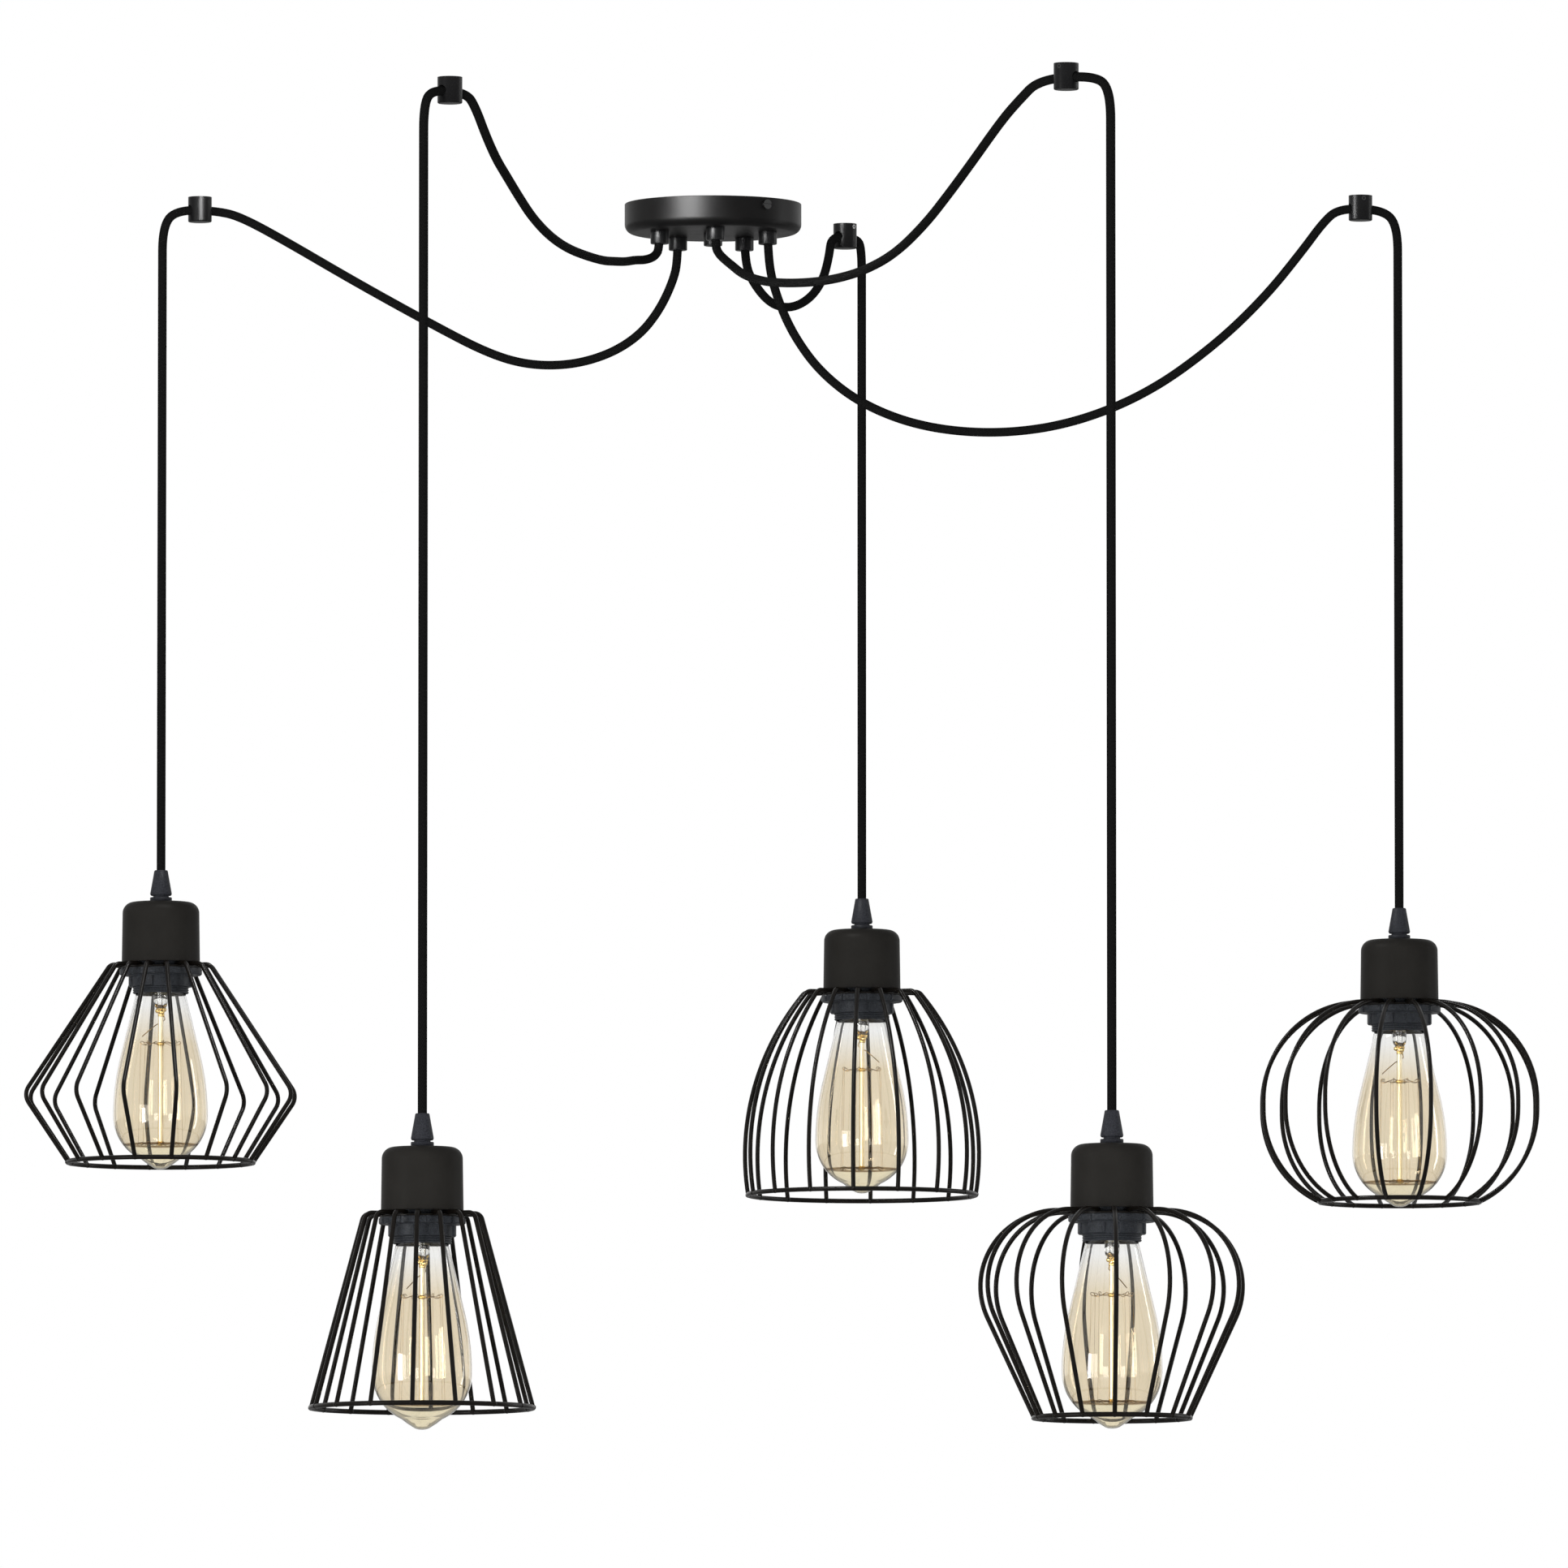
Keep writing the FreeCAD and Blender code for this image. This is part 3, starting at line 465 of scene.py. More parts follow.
def plated(name, colour, roughness):
    """Bare or plated metal with fine streaks."""
    paint = Paint(name, colour, roughness, 1.0)
    streaks = paint.noise(0.6, 4.0)
    paint.link(paint.spread(streaks, roughness - 0.08, roughness + 0.12), paint.shader.inputs["Roughness"])
    paint.bump(streaks, 0.02)
    return paint.material


def braided(name):
    """Black textile sleeve: crossing carriers worked out from the cord's own length and girth."""
    paint = Paint(name, (0.006, 0.006, 0.006), 0.9)
    paint.set("Specular IOR Level", 0.01)
    unwrap = paint.node("ShaderNodeUVMap", uv_map="braid")
    split = paint.node("ShaderNodeSeparateXYZ")
    paint.link(unwrap.outputs["UV"], split.inputs[0])
    along = paint.math("MULTIPLY", split.outputs["X"], 2 * math.pi / BRAID_PITCH)
    around = paint.math("MULTIPLY", split.outputs["Y"], 2 * math.pi * BRAID_CARRIERS)
    one = paint.math("SINE", paint.math("ADD", around, along))
    other = paint.math("SINE", paint.math("SUBTRACT", around, along))
    crossing = paint.math("MULTIPLY", one, other)
    over = paint.math("GREATER_THAN", crossing, 0)
    under = paint.math("SUBTRACT", 1, over)
    height = paint.math("ADD", paint.math("MULTIPLY", over, paint.math("ABSOLUTE", one)),
                        paint.math("MULTIPLY", under, paint.math("ABSOLUTE", other)))
    # Painted shade: the carriers' crests are lighter and the grooves between them darker in colour, by the
    # same height as the bump
    painted_groove_shade = paint.ramp(height, (0.003, 0.003, 0.003), (0.008, 0.008, 0.008))
    paint.link(painted_groove_shade, paint.shader.inputs["Base Color"])
    paint.bump(height, 0.25)
    return paint.material


def tinted_glass():
    """Bulb glass: nearly clear at the neck, amber below it, and paler under the line near its nose."""
    paint = Paint("bulb_glass", GLASS_AMBER, 0.0)
    paint.set("IOR", 1.45)
    paint.set("Transmission Weight", 1.0)
    split = paint.node("ShaderNodeSeparateXYZ")
    paint.link(paint.node("ShaderNodeTexCoord").outputs["Object"], split.inputs[0])
    depth = paint.node("ShaderNodeMapRange")
    depth.inputs["From Min"].default_value = LIP_Z * MM
    depth.inputs["From Max"].default_value = (LIP_Z - BULB_L) * MM
    paint.link(split.outputs["Z"], depth.inputs["Value"])
    ramp = paint.node("ShaderNodeValToRGB")
    elements = ramp.color_ramp.elements
    while len(elements) < len(GLASS_STOPS):
        elements.new(1.0)
    for element, (below, colour) in zip(elements, GLASS_STOPS):
        element.position = below / BULB_L
        element.color = (*colour, 1)
    paint.link(depth.outputs["Result"], ramp.inputs["Fac"])
    paint.link(ramp.outputs["Color"], paint.shader.inputs["Base Color"])
    return paint.material


def clear_glass():
    """Clear glass of the stem."""
    paint = Paint("stem_glass", (0.97, 0.97, 0.95), 0.03)
    paint.set("IOR", 1.5)
    paint.set("Transmission Weight", 1.0)
    paint.bump(paint.noise(2.0), 0.05)
    return paint.material


# Black paints and plastics: two colours that waver or speck, roughness, specular level, size of the grain
# and depth of its bump in millimetres
PAINTED = {
    "canopy_paint": ((0.002, 0.0018, 0.0018), (0.003, 0.0028, 0.0028), 0.4, 0.1, 0.6, 0.014),
    "holder_paint": ((0.004, 0.004, 0.0042), (0.006, 0.006, 0.0063), 0.34, 0.09, 0.8, 0.004),
    "cup_paint": ((0.0138, 0.013, 0.0118), (0.0165, 0.0156, 0.0142), 0.42, 0.015, 0.7, 0.004),
    "cage_paint": ((0.003, 0.0022, 0.0016), (0.0045, 0.0036, 0.0027), 0.3, 0.1, 0.35, 0.02),
    "screw_black": ((0.004, 0.004, 0.004), (0.006, 0.006, 0.006), 0.12, 0.5, 0.3, 0.004),
}
MOULDED = {
    "gland_plastic": ((0.003, 0.0031, 0.0034), (0.005, 0.0053, 0.006), 0.34, 0.16, 0.3, 0.01),
    "grip_plastic": ((0.0095, 0.01, 0.012), (0.042, 0.044, 0.052), 0.45, 0.05, 0.5, 0.06),
    "socket_plastic": ((0.005, 0.0056, 0.0066), (0.044, 0.0485, 0.056), 0.4, 0.1, 0.5, 0.05),
    "block_plastic": ((0.75, 0.75, 0.7), (0.85, 0.85, 0.82), 0.5, 0.4, 0.6, 0.02),
    "conductor_sleeve": ((0.12, 0.05, 0.02), (0.2, 0.09, 0.04), 0.4, 0.4, 0.8, 0.01),
}
# Metals: colour and roughness
PLATED = {
    "bracket_steel": ((0.62, 0.63, 0.65), 0.35),
    "bulb_brass": ((0.75, 0.58, 0.3), 0.3),
    "filament": ((0.3, 0.2, 0.08), 0.35),
    "bulb_gilt": ((0.9, 0.66, 0.26), 0.25),
    "bulb_rod": ((0.98, 0.91, 0.72), 0.38),
}
PAINTS = {name: painted(name, *values) for name, values in PAINTED.items()}
PAINTS.update({name: moulded(name, *values) for name, values in MOULDED.items()})
PAINTS.update({name: plated(name, *values) for name, values in PLATED.items()})
PAINTS["cord_fabric"] = braided("cord_fabric")
PAINTS["bulb_glass"] = tinted_glass()
PAINTS["bulb_stem"] = clear_glass()

# Places read from the frame
JOINTS = {joint["name"]: joint for joint in frame["joints"]}


def lamp_place(lamp):
    """Centre of a cup's rim, in metres."""
    low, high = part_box("cup_%d" % lamp)
    return Vector(((low[0] + high[0]) / 2, (low[1] + high[1]) / 2, low[2]))


def bore(lamp):
    """Middle of a holder's bore in metres, and the way its drop leaves."""
    joint = JOINTS["swing_%d" % lamp]
    return Vector(joint["pos_m"]), Vector(joint["axis"])


# Control points of the cords' routes, in metres: each swag runs from its gland to its holder's bore,
# and each drop from there down into its lampholder
SWAG_ROUTES = {
    1: ((-0.02397, 0.03013, -0.012), (-0.02397, 0.03013, -0.0355), (-0.0275, 0.03, -0.05),
        (-0.0365, 0.0277, -0.0695), (-0.05, 0.0245, -0.087), (-0.0705, 0.0195, -0.1005),
        (-0.097, 0.0135, -0.1085), (-0.126, 0.0065, -0.109), (-0.153, 0, -0.1015),
        (-0.19, -0.0085, -0.083), (-0.2415, -0.0205, -0.0555), (-0.29, -0.0315, -0.028),
        (-0.3175, -0.037, -0.0135), (-0.33281, -0.04077, -0.009), (-0.347, -0.047, -0.009)),
    2: ((-0.03606, -0.01348, -0.012), (-0.03606, -0.01348, -0.0315), (-0.0395, -0.0175, -0.0375),
        (-0.0458, -0.026, -0.0406), (-0.0525, -0.042, -0.0422), (-0.0565, -0.07, -0.0458),
        (-0.06, -0.118, -0.051), (-0.0655, -0.18, -0.057), (-0.072, -0.258, -0.0645),
        (-0.082, -0.345, -0.0702), (-0.094, -0.43, -0.0738), (-0.105, -0.512, -0.074),
        (-0.1155, -0.588, -0.0695),
        (-0.124, -0.65, -0.0615), (-0.131, -0.702, -0.054), (-0.137, -0.738, -0.047),
        (-0.1435, -0.762, -0.034), (-0.1495, -0.7745, -0.0185), (-0.15521, -0.78187, -0.009),
        (-0.166, -0.793, -0.009)),
    3: ((0.02125, 0.0321, -0.012), (0.02125, 0.0321, -0.036), (0.0275, 0.0382, -0.0505),
        (0.0395, 0.056, -0.063), (0.0535, 0.077, -0.0635), (0.0665, 0.096, -0.0545),
        (0.075, 0.109, -0.0405), (0.079, 0.1165, -0.024), (0.0808, 0.1198, -0.009),
        (0.09, 0.131, -0.009)),
    4: ((0.00168, -0.03846, -0.012), (0.00168, -0.03846, -0.0315), (0.0035, -0.0435, -0.0375),
        (0.0085, -0.054, -0.0435), (0.0145, -0.076, -0.0505), (0.019, -0.103, -0.057),
        (0.027, -0.145, -0.065), (0.039, -0.197, -0.073), (0.059, -0.278, -0.0815), (0.08, -0.363, -0.0878),
        (0.101, -0.449, -0.0903), (0.121, -0.529, -0.087), (0.14, -0.606, -0.0755),
        (0.155, -0.668, -0.062), (0.17, -0.728, -0.047), (0.1815, -0.775, -0.035),
        (0.19, -0.812, -0.027), (0.198, -0.84, -0.0205), (0.2109, -0.86181, -0.009),
        (0.228, -0.874, -0.009)),
    5: ((0.0371, -0.01029, -0.012), (0.0371, -0.01029, -0.037), (0.042, -0.0125, -0.061),
        (0.054, -0.014, -0.09), (0.074, -0.016, -0.1175), (0.104, -0.0195, -0.14),
        (0.145, -0.024, -0.155), (0.195, -0.03, -0.1595), (0.245, -0.0355, -0.1525),
        (0.295, -0.042, -0.1325), (0.34, -0.0485, -0.1005), (0.374, -0.054, -0.068),
        (0.3995, -0.0595, -0.0365), (0.412, -0.062, -0.0195), (0.42306, -0.06114, -0.009),
        (0.438, -0.057, -0.009)),
}
DROP_ROUTES = {
    1: ((-0.347, -0.047, -0.009), (-0.36181, -0.0535, -0.009), (-0.372, -0.05797, -0.02013),
        (-0.372, -0.05797, -0.05613), (-0.372, -0.05797, -0.498)),
    2: ((-0.166, -0.793, -0.009), (-0.17622, -0.80354, -0.009), (-0.18249, -0.81002, -0.01802),
        (-0.18249, -0.81002, -0.05402), (-0.18249, -0.81002, -0.707)),
    3: ((0.09, 0.131, -0.009), (0.09784, 0.14055, -0.009), (0.10149, 0.14499, -0.01474),
        (0.10149, 0.14499, -0.05074), (0.10149, 0.14499, -0.503)),
    4: ((0.228, -0.874, -0.009), (0.24694, -0.88751, -0.009), (0.25601, -0.89398, -0.02013),
        (0.25601, -0.89398, -0.05613), (0.25601, -0.89398, -0.71)),
    5: ((0.438, -0.057, -0.009), (0.45318, -0.05279, -0.009), (0.46334, -0.04997, -0.01954),
        (0.46334, -0.04997, -0.05554), (0.46334, -0.04997, -0.523)),
}


def smooth_line(points):
    """Line of a spline whose control points are a cord's route."""
    curve = bpy.data.curves.new("route", "CURVE")
    curve.dimensions = "3D"
    spline = curve.splines.new("NURBS")
    spline.points.add(len(points) - 1)
    for control, point in zip(spline.points, points):
        control.co = (*point, 1)
    spline.order_u = 3
    spline.use_endpoint_u = True
    spline.resolution_u = 24
    route = bpy.data.objects.new("route", curve)
    bpy.context.scene.collection.objects.link(route)
    bpy.context.view_layer.update()
    mesh = bpy.data.meshes.new_from_object(route.evaluated_get(bpy.context.evaluated_depsgraph_get()))
    line = [vertex.co.copy() for vertex in mesh.vertices]
    bpy.data.meshes.remove(mesh)
    bpy.data.objects.remove(route)
    bpy.data.curves.remove(curve)
    return line


def evenly(line, step):
    """Points of a line at even steps along it."""
    walked = [0.0]
    for before, after in zip(line, line[1:]):
        walked.append(walked[-1] + (after - before).length)
    count = max(2, round(walked[-1] / step))
    points = []
    place = 0
    for index in range(count + 1):
        target = walked[-1] * index / count
        while place < len(line) - 2 and walked[place + 1] < target:
            place += 1
        span = walked[place + 1] - walked[place]
        share = (target - walked[place]) / span if span else 0.0
        points.append(line[place].lerp(line[place + 1], share))
    return points


def cord_piece(name, points, body, node):
    """Textile cord along a route."""
    path = evenly(smooth_line(points), CORD_STEP * MM)
    mesh = bmesh.new()
    unwrap = mesh.loops.layers.uv.new("braid")
    add_tube(mesh, path, CORD_D / 2 * MM, CORD_SIDES, unwrap=unwrap)
    piece = finished(mesh, name, PAINTS["cord_fabric"], body, [node])


def make_cords():
    """Five swags from the canopy to the holders, and five drops to the lamps."""
    for lamp in LAMPS:
        cord_piece("swag_%d" % lamp, SWAG_ROUTES[lamp], "ceiling_set", "swag_cord_%d" % lamp)
        cord_piece("drop_%d" % lamp, DROP_ROUTES[lamp], "pendant_%d" % lamp, "drop_cord_%d" % lamp)


# Cages
def bent(corners):
    """Points of a wire with round bends at its corners."""
    points = [Vector((corners[0][0], corners[0][1]))]
    for before, here, after in zip(corners, corners[1:], corners[2:]):
        corner = Vector(here[:2])
        back = (Vector(before[:2]) - corner).normalized()
        on = (Vector(after[:2]) - corner).normalized()
        half = (math.pi - back.angle(on)) / 2
        centre = corner + (back + on).normalized() * (here[2] / math.cos(half))
        first = corner + back * here[2] * math.tan(half) - centre
        last = corner + on * here[2] * math.tan(half) - centre
        for step in range(9):
            points.append(centre + (first.slerp(last, step / 8)).normalized() * here[2])
    points.append(Vector((corners[-1][0], corners[-1][1])))
    return [tuple(point) for point in points]


def dome_points():
    """Tight shoulder, then one long curve to the hoop."""
    centre_r = PLATE_R + DOME_BULGE - DOME_BEND_R
    inner_r = DOME_BEND_R - WIRE_BEND_R
    shoulder = math.degrees(math.asin((-WIRE_R - WIRE_BEND_R - DOME_WIDEST_Z) / inner_r))
    inner = arc(centre_r, DOME_WIDEST_Z, inner_r, shoulder, shoulder, 1)[0]
    foot = math.degrees(math.asin((DOME_HOOP_Z - DOME_WIDEST_Z) / DOME_BEND_R))
    return ([(WIRE_START_R, -WIRE_R)] + arc(inner[0], inner[1], WIRE_BEND_R, 90, shoulder, 8)
            + arc(centre_r, DOME_WIDEST_Z, DOME_BEND_R, shoulder, foot, 30)[1:])


def pumpkin_points():
    """Round shoulder that runs straight down and in to the hoop."""
    centre = Vector((PLATE_R + PUMPKIN_BEND_OUT, -WIRE_R - PUMPKIN_BEND_R))
    hoop = Vector((PLATE_R + PUMPKIN_HOOP_OUT, PUMPKIN_HOOP_Z))
    away = hoop - centre
    tangent = math.degrees(math.atan2(away.y, away.x) + math.acos(PUMPKIN_BEND_R / away.length))
    shoulder = arc(centre.x, centre.y, PUMPKIN_BEND_R, 90, tangent, 30)
    return [(WIRE_START_R, -WIRE_R)] + shoulder + [tuple(hoop)]


def globe_points():
    """Two quarter rounds joined by a short upright belly."""
    high = -WIRE_R - GLOBE_BEND_R
    low = high - GLOBE_BELLY
    foot = math.degrees(math.asin((GLOBE_HOOP_Z - low) / GLOBE_BEND_R))
    return ([(WIRE_START_R, -WIRE_R)] + arc(PLATE_R, high, GLOBE_BEND_R, 90, 0, 24)
            + arc(PLATE_R, low, GLOBE_BEND_R, 0, foot, 18))


# Each cage's wire, how many it has, and the bearing of the first
CAGES = {
    1: (bent(DIAMOND_CORNERS), 16, -81.6),
    2: (bent(CONE_CORNERS), 16, -94.0),
    3: (dome_points(), 16, -94.5),
    4: (pumpkin_points(), 15, -89.0),
    5: (globe_points(), 16, -78.75),
}


def make_cage(lamp):
    """Welded cage of one lamp: wires over a flat ring, a hoop, and a bead of weld at every joint."""
    outline, count, first = CAGES[lamp]
    mesh = bmesh.new()
    for index in range(count):
        bearing = first + 360 * index / count
        line = [(polar(radius, bearing) + Vector((0, 0, height))) * MM for radius, height in outline]
        add_tube(mesh, line, WIRE_R * MM, WIRE_SIDES)
        add_blob(mesh, line[-1], HOOP_BEAD_R, HOOP_BEAD_STRETCH, math.radians(bearing))
        foot = (polar(PLATE_R - PLATE_BEAD_IN, bearing) + Vector((0, 0, PLATE_TOP_Z))) * MM
        add_blob(mesh, foot, PLATE_BEAD_R, PLATE_BEAD_STRETCH, math.radians(bearing))
    hoop_r, hoop_z = outline[-1]
    level = Vector((0, 0, hoop_z))
    hoop = [(polar(hoop_r, 360 * step / HOOP_STEPS) + level) * MM for step in range(HOOP_STEPS)]
    add_tube(mesh, hoop, HOOP_R * MM, WIRE_SIDES, closed=True)
    low = PLATE_TOP_Z - PLATE_T
    add_lathe(mesh, [
        (PLATE_HOLE_R, PLATE_TOP_Z), (PLATE_R - PLATE_EDGE, PLATE_TOP_Z), (PLATE_R, PLATE_TOP_Z - PLATE_EDGE),
        (PLATE_R, low + PLATE_EDGE), (PLATE_R - PLATE_EDGE, low), (PLATE_HOLE_R, low),
    ])
    lamp_piece(mesh, "cage_wires", lamp, "cage_paint", "cage")


def make_cup(lamp):
    """Deep painted cup with a rounded crown and a thin rolled rim."""
    edge = CUP_H - CUP_EDGE_R
    inner = CUP_EDGE_R - CUP_WALL
    centre = CUP_TOP_R - CUP_EDGE_R
    outline = [(CUP_RIM_R - 0.8, 0.0), (CUP_RIM_R - 0.25, 0.0), (CUP_RIM_R, 0.25), (CUP_RIM_R - 0.02, 0.9)]
    outline += arc(centre, edge, CUP_EDGE_R, 0, 90, 14)
    outline += [(NECK_R + 0.6, CUP_H), (NECK_R + 0.1, CUP_H - 0.4), (NECK_R + 0.1, CUP_H - CUP_WALL)]
    outline += arc(centre, edge, inner, 90, 0, 10)
    outline += [(CUP_RIM_R - CUP_WALL, 0.3)]
    mesh = bmesh.new()
    add_lathe(mesh, outline, sides=128)
    lamp_piece(mesh, "cup_shell", lamp, "cup_paint", "cup", sharp=60)


def make_grip(lamp):
    """Tapered cord grip on its waisted foot disc."""
    foot = CUP_H
    waist = foot + GRIP_DISC_H
    cone = waist + GRIP_WAIST_H
    top = foot + GRIP_H
    outline = [
        (NECK_R + 0.2, foot), (GRIP_FOOT_R - 0.3, foot), (GRIP_FOOT_R, foot + 0.3),
        (GRIP_FOOT_R, waist - 0.3), (GRIP_FOOT_R - 0.3, waist),
        (GRIP_WAIST_R, waist + 0.1), (GRIP_WAIST_R, cone - 0.1),
        (GRIP_FOOT_R - 0.9, cone), (GRIP_FOOT_R - 0.35, cone + 0.4), (GRIP_FOOT_R - 0.05, cone + 1.3),
        (GRIP_TOP_R + 0.1, top - 0.5), (GRIP_TOP_R - 0.3, top), (GRIP_BORE_MOUTH_R, top),
        (GRIP_BORE_R, top - 0.6), (GRIP_BORE_R, NECK_TOP), (NECK_R + 0.2, NECK_TOP),
    ]
    mesh = bmesh.new()
    add_lathe(mesh, outline, sides=48)
    lamp_piece(mesh, "grip", lamp, "grip_plastic", "cord_grip", sharp=50)


def notch_depth(turn, count, first, width, radius):
    """How deep the nearest of a ring of notches is at a turn, from 0 beside it to 1 in it."""
    pitch = 2 * math.pi / count
    away = abs((turn - math.radians(first) + pitch / 2) % pitch - pitch / 2)
    return min(1.0, max(0.0, (width / 2 / radius - away) / NOTCH_SIDE + 0.5))


def make_shade_ring(lamp):
    """Flanged ring with small notches in its flange and wide finger recesses in its collar."""
    flange = RING_TOP_Z - RING_FLANGE_H
    foot = flange - RING_COLLAR_H
    bore_r = BODY_R + 0.1
    outline = [
        (bore_r, RING_TOP_Z), (RING_FLANGE_R - 0.8, RING_TOP_Z), (RING_FLANGE_R, RING_TOP_Z - 0.8),
        (RING_FLANGE_R, flange + 0.8), (RING_FLANGE_R - 0.8, flange), (RING_COLLAR_R + 0.5, flange),
        (RING_COLLAR_R, flange - 0.5), (RING_COLLAR_R, flange - 1.0), (RING_COLLAR_R, flange - 1.05),
        (RING_COLLAR_R, foot + 0.7), (RING_COLLAR_R - 0.7, foot), (bore_r, foot),
    ]
    # Which points of the outline the flange's notches and the collar's recesses draw in
    flange_rows = {1, 2, 3, 4}
    recess_rows = {8, 9, 10}

    def squeeze(turn, index, radius):
        if index in flange_rows:
            floor = RING_FLANGE_R - RING_NOTCH_DEPTH
            depth = notch_depth(turn, RING_NOTCHES, RING_FIRST_NOTCH, RING_NOTCH_W, RING_FLANGE_R)
        elif index in recess_rows:
            floor = RING_COLLAR_R - RING_RECESS_DEPTH
            depth = notch_depth(turn, RING_RECESSES, RING_FIRST_RECESS, RING_RECESS_W, RING_COLLAR_R)
        else:
            return radius
        return radius - (radius - floor) * depth

    mesh = bmesh.new()
    add_lathe(mesh, outline, sides=360, squeeze=squeeze)
    lamp_piece(mesh, "shade_clamp", lamp, "socket_plastic", "shade_ring", sharp=35)


def make_lampholder(lamp):
    """Lampholder with a fine thread towards its lip, an open socket, and the hollow neck above."""
    ledge = LIP_Z + MOUTH_H
    outline = [(MOUTH_R, LIP_Z), (BODY_R - 0.5, LIP_Z), (BODY_R, LIP_Z + 0.5)]
    height = LIP_Z + 1.0
    while height < THREAD_TOP_Z:
        outline += [(BODY_R, height), (BODY_R - THREAD_DEPTH, height + 0.45),
                    (BODY_R - THREAD_DEPTH, height + 0.6), (BODY_R, height + 1.05)]
        height += THREAD_PITCH
    ceiling = SOCKET_TOP + SOCKET_FLOOR_T
    outline += [
        (BODY_R, HOUSING_TOP_Z), (HOUSING_CONE_R, HOUSING_CONE_Z), (NECK_R, NECK_FOOT_Z), (NECK_R, NECK_TOP),
        (NECK_BORE_R, NECK_TOP), (NECK_BORE_R, ROOM_TOP_Z), (ROOM_R, ROOM_TOP_Z), (ROOM_R, ceiling),
        (0.0, ceiling), (0.0, SOCKET_TOP), (SOCKET_R, SOCKET_TOP), (SOCKET_R, ledge), (MOUTH_R, ledge),
    ]
    mesh = bmesh.new()
    add_lathe(mesh, outline)
    lamp_piece(mesh, "holder_body", lamp, "socket_plastic", "lampholder", sharp=35)


def bulb_outline(wall):
    """Envelope from neck to nose, drawn in by a wall."""
    belly = LIP_Z - BULB_BELLY_Z
    belly_r = BULB_R - wall
    flank = math.degrees(math.asin((BULB_BELLY_Z - BULB_FLANK_Z) / BULB_FLANK_BEND_R))
    heel = -math.degrees(math.acos(BULB_HEEL_R / BULB_R))
    nose_z = LIP_Z - BULB_NOSE_Z + wall
    tip = LIP_Z - BULB_L + wall
    nose_r = BULB_NOSE_R - wall / 2
    neck_r = BULB_NECK_R - wall
    flank_r = BULB_FLANK_R - wall
    points = [(neck_r + (flank_r - neck_r) * step / 8, LIP_Z - BULB_FLANK_Z * step / 8)
              for step in range(8)]
    points += arc(belly_r - BULB_FLANK_BEND_R, belly, BULB_FLANK_BEND_R, flank, 0, 16)[:-1]
    points += arc(0, belly, belly_r, 0, heel, 22)
    last_r, last_z = points[-1]
    points += [(last_r + (nose_r - last_r) * 0.5, last_z + (nose_z - last_z) * 0.55), (nose_r, nose_z)]
    points += [(nose_r * 0.8, nose_z + (tip - nose_z) * 0.45),
               (nose_r * 0.45, nose_z + (tip - nose_z) * 0.85), (0.0, tip)]
    return points


def make_envelope(lamp):
    """The bulb's glass, with both faces of its wall."""
    shoulder = LIP_Z + BULB_SHOULDER
    top = shoulder + BULB_STALK_H
    outer = [(BULB_STALK_R, top), (BULB_STALK_R, shoulder + 0.8), (BULB_STALK_R + 1.2, shoulder)]
    inner = [(BULB_STALK_R - BULB_WALL, top), (BULB_STALK_R - BULB_WALL, shoulder + 0.4),
             (BULB_STALK_R + 0.4, shoulder - 0.8)]
    outline = outer + bulb_outline(0) + (inner + bulb_outline(BULB_WALL))[::-1]
    mesh = bmesh.new()
    add_lathe(mesh, outline, sides=128)
    lamp_piece(mesh, "envelope", lamp, "bulb_glass", "bulb_glass", sharp=180, body="bulb")


def make_stem(lamp):
    """Clear stem with its flare up in the cap, and the pale rod that hangs from it."""
    tip = LIP_Z - STEM_TIP
    flare = LIP_Z + BULB_SHOULDER + BULB_STALK_H - 2
    outline = [(0.0, flare), (9.6, flare), (9.9, flare - 0.8), (8.2, flare - 2.6), (6.0, flare - 5.5),
               (STEM_R, flare - 9), (STEM_R, tip + 6), (STEM_R * 0.9, tip + 3), (STEM_R * 0.62, tip + 1),
               (STEM_R * 0.3, tip + 0.1), (0.0, tip)]
    mesh = bmesh.new()
    add_lathe(mesh, outline, sides=48, closed=False)
    lamp_piece(mesh, "stem", lamp, "bulb_stem", "bulb_mount", sharp=60, body="bulb")
    rod = [(0.0, tip + 1), (1.9, tip + 0.6), (1.6, tip - 3), (ROD_R, tip - 4.5),
           (ROD_R, LIP_Z - CROWN_FOOT), (0.0, LIP_Z - CROWN_FOOT)]
    mesh = bmesh.new()
    add_lathe(mesh, rod, sides=24, closed=False)
    lamp_piece(mesh, "rod", lamp, "bulb_rod", None, sharp=60, body="bulb")


def make_beads(lamp):
    """Gilt beads at the stem's tip and on the rod."""
    mesh = bmesh.new()
    spin = Matrix.Rotation(math.radians(BULB_TURNS[lamp]), 3, "Z")
    tip = LIP_Z - STEM_TIP
    for x, y, z, radius in BEADS:
        place = spin @ Vector((x, y, 0)) + Vector((0, 0, z + tip))
        add_blob(mesh, place * MM, radius * BEAD_GROWTH, (1, 1, 0.85))
    for level in (LIP_Z - CROWN_TOP, LIP_Z - CROWN_FOOT):
        add_blob(mesh, Vector((0, 0, level * MM)), ROD_BEAD_R, (1.15, 1.15, 0.75))
    lamp_piece(mesh, "beads", lamp, "bulb_gilt", None, sharp=60, body="bulb")


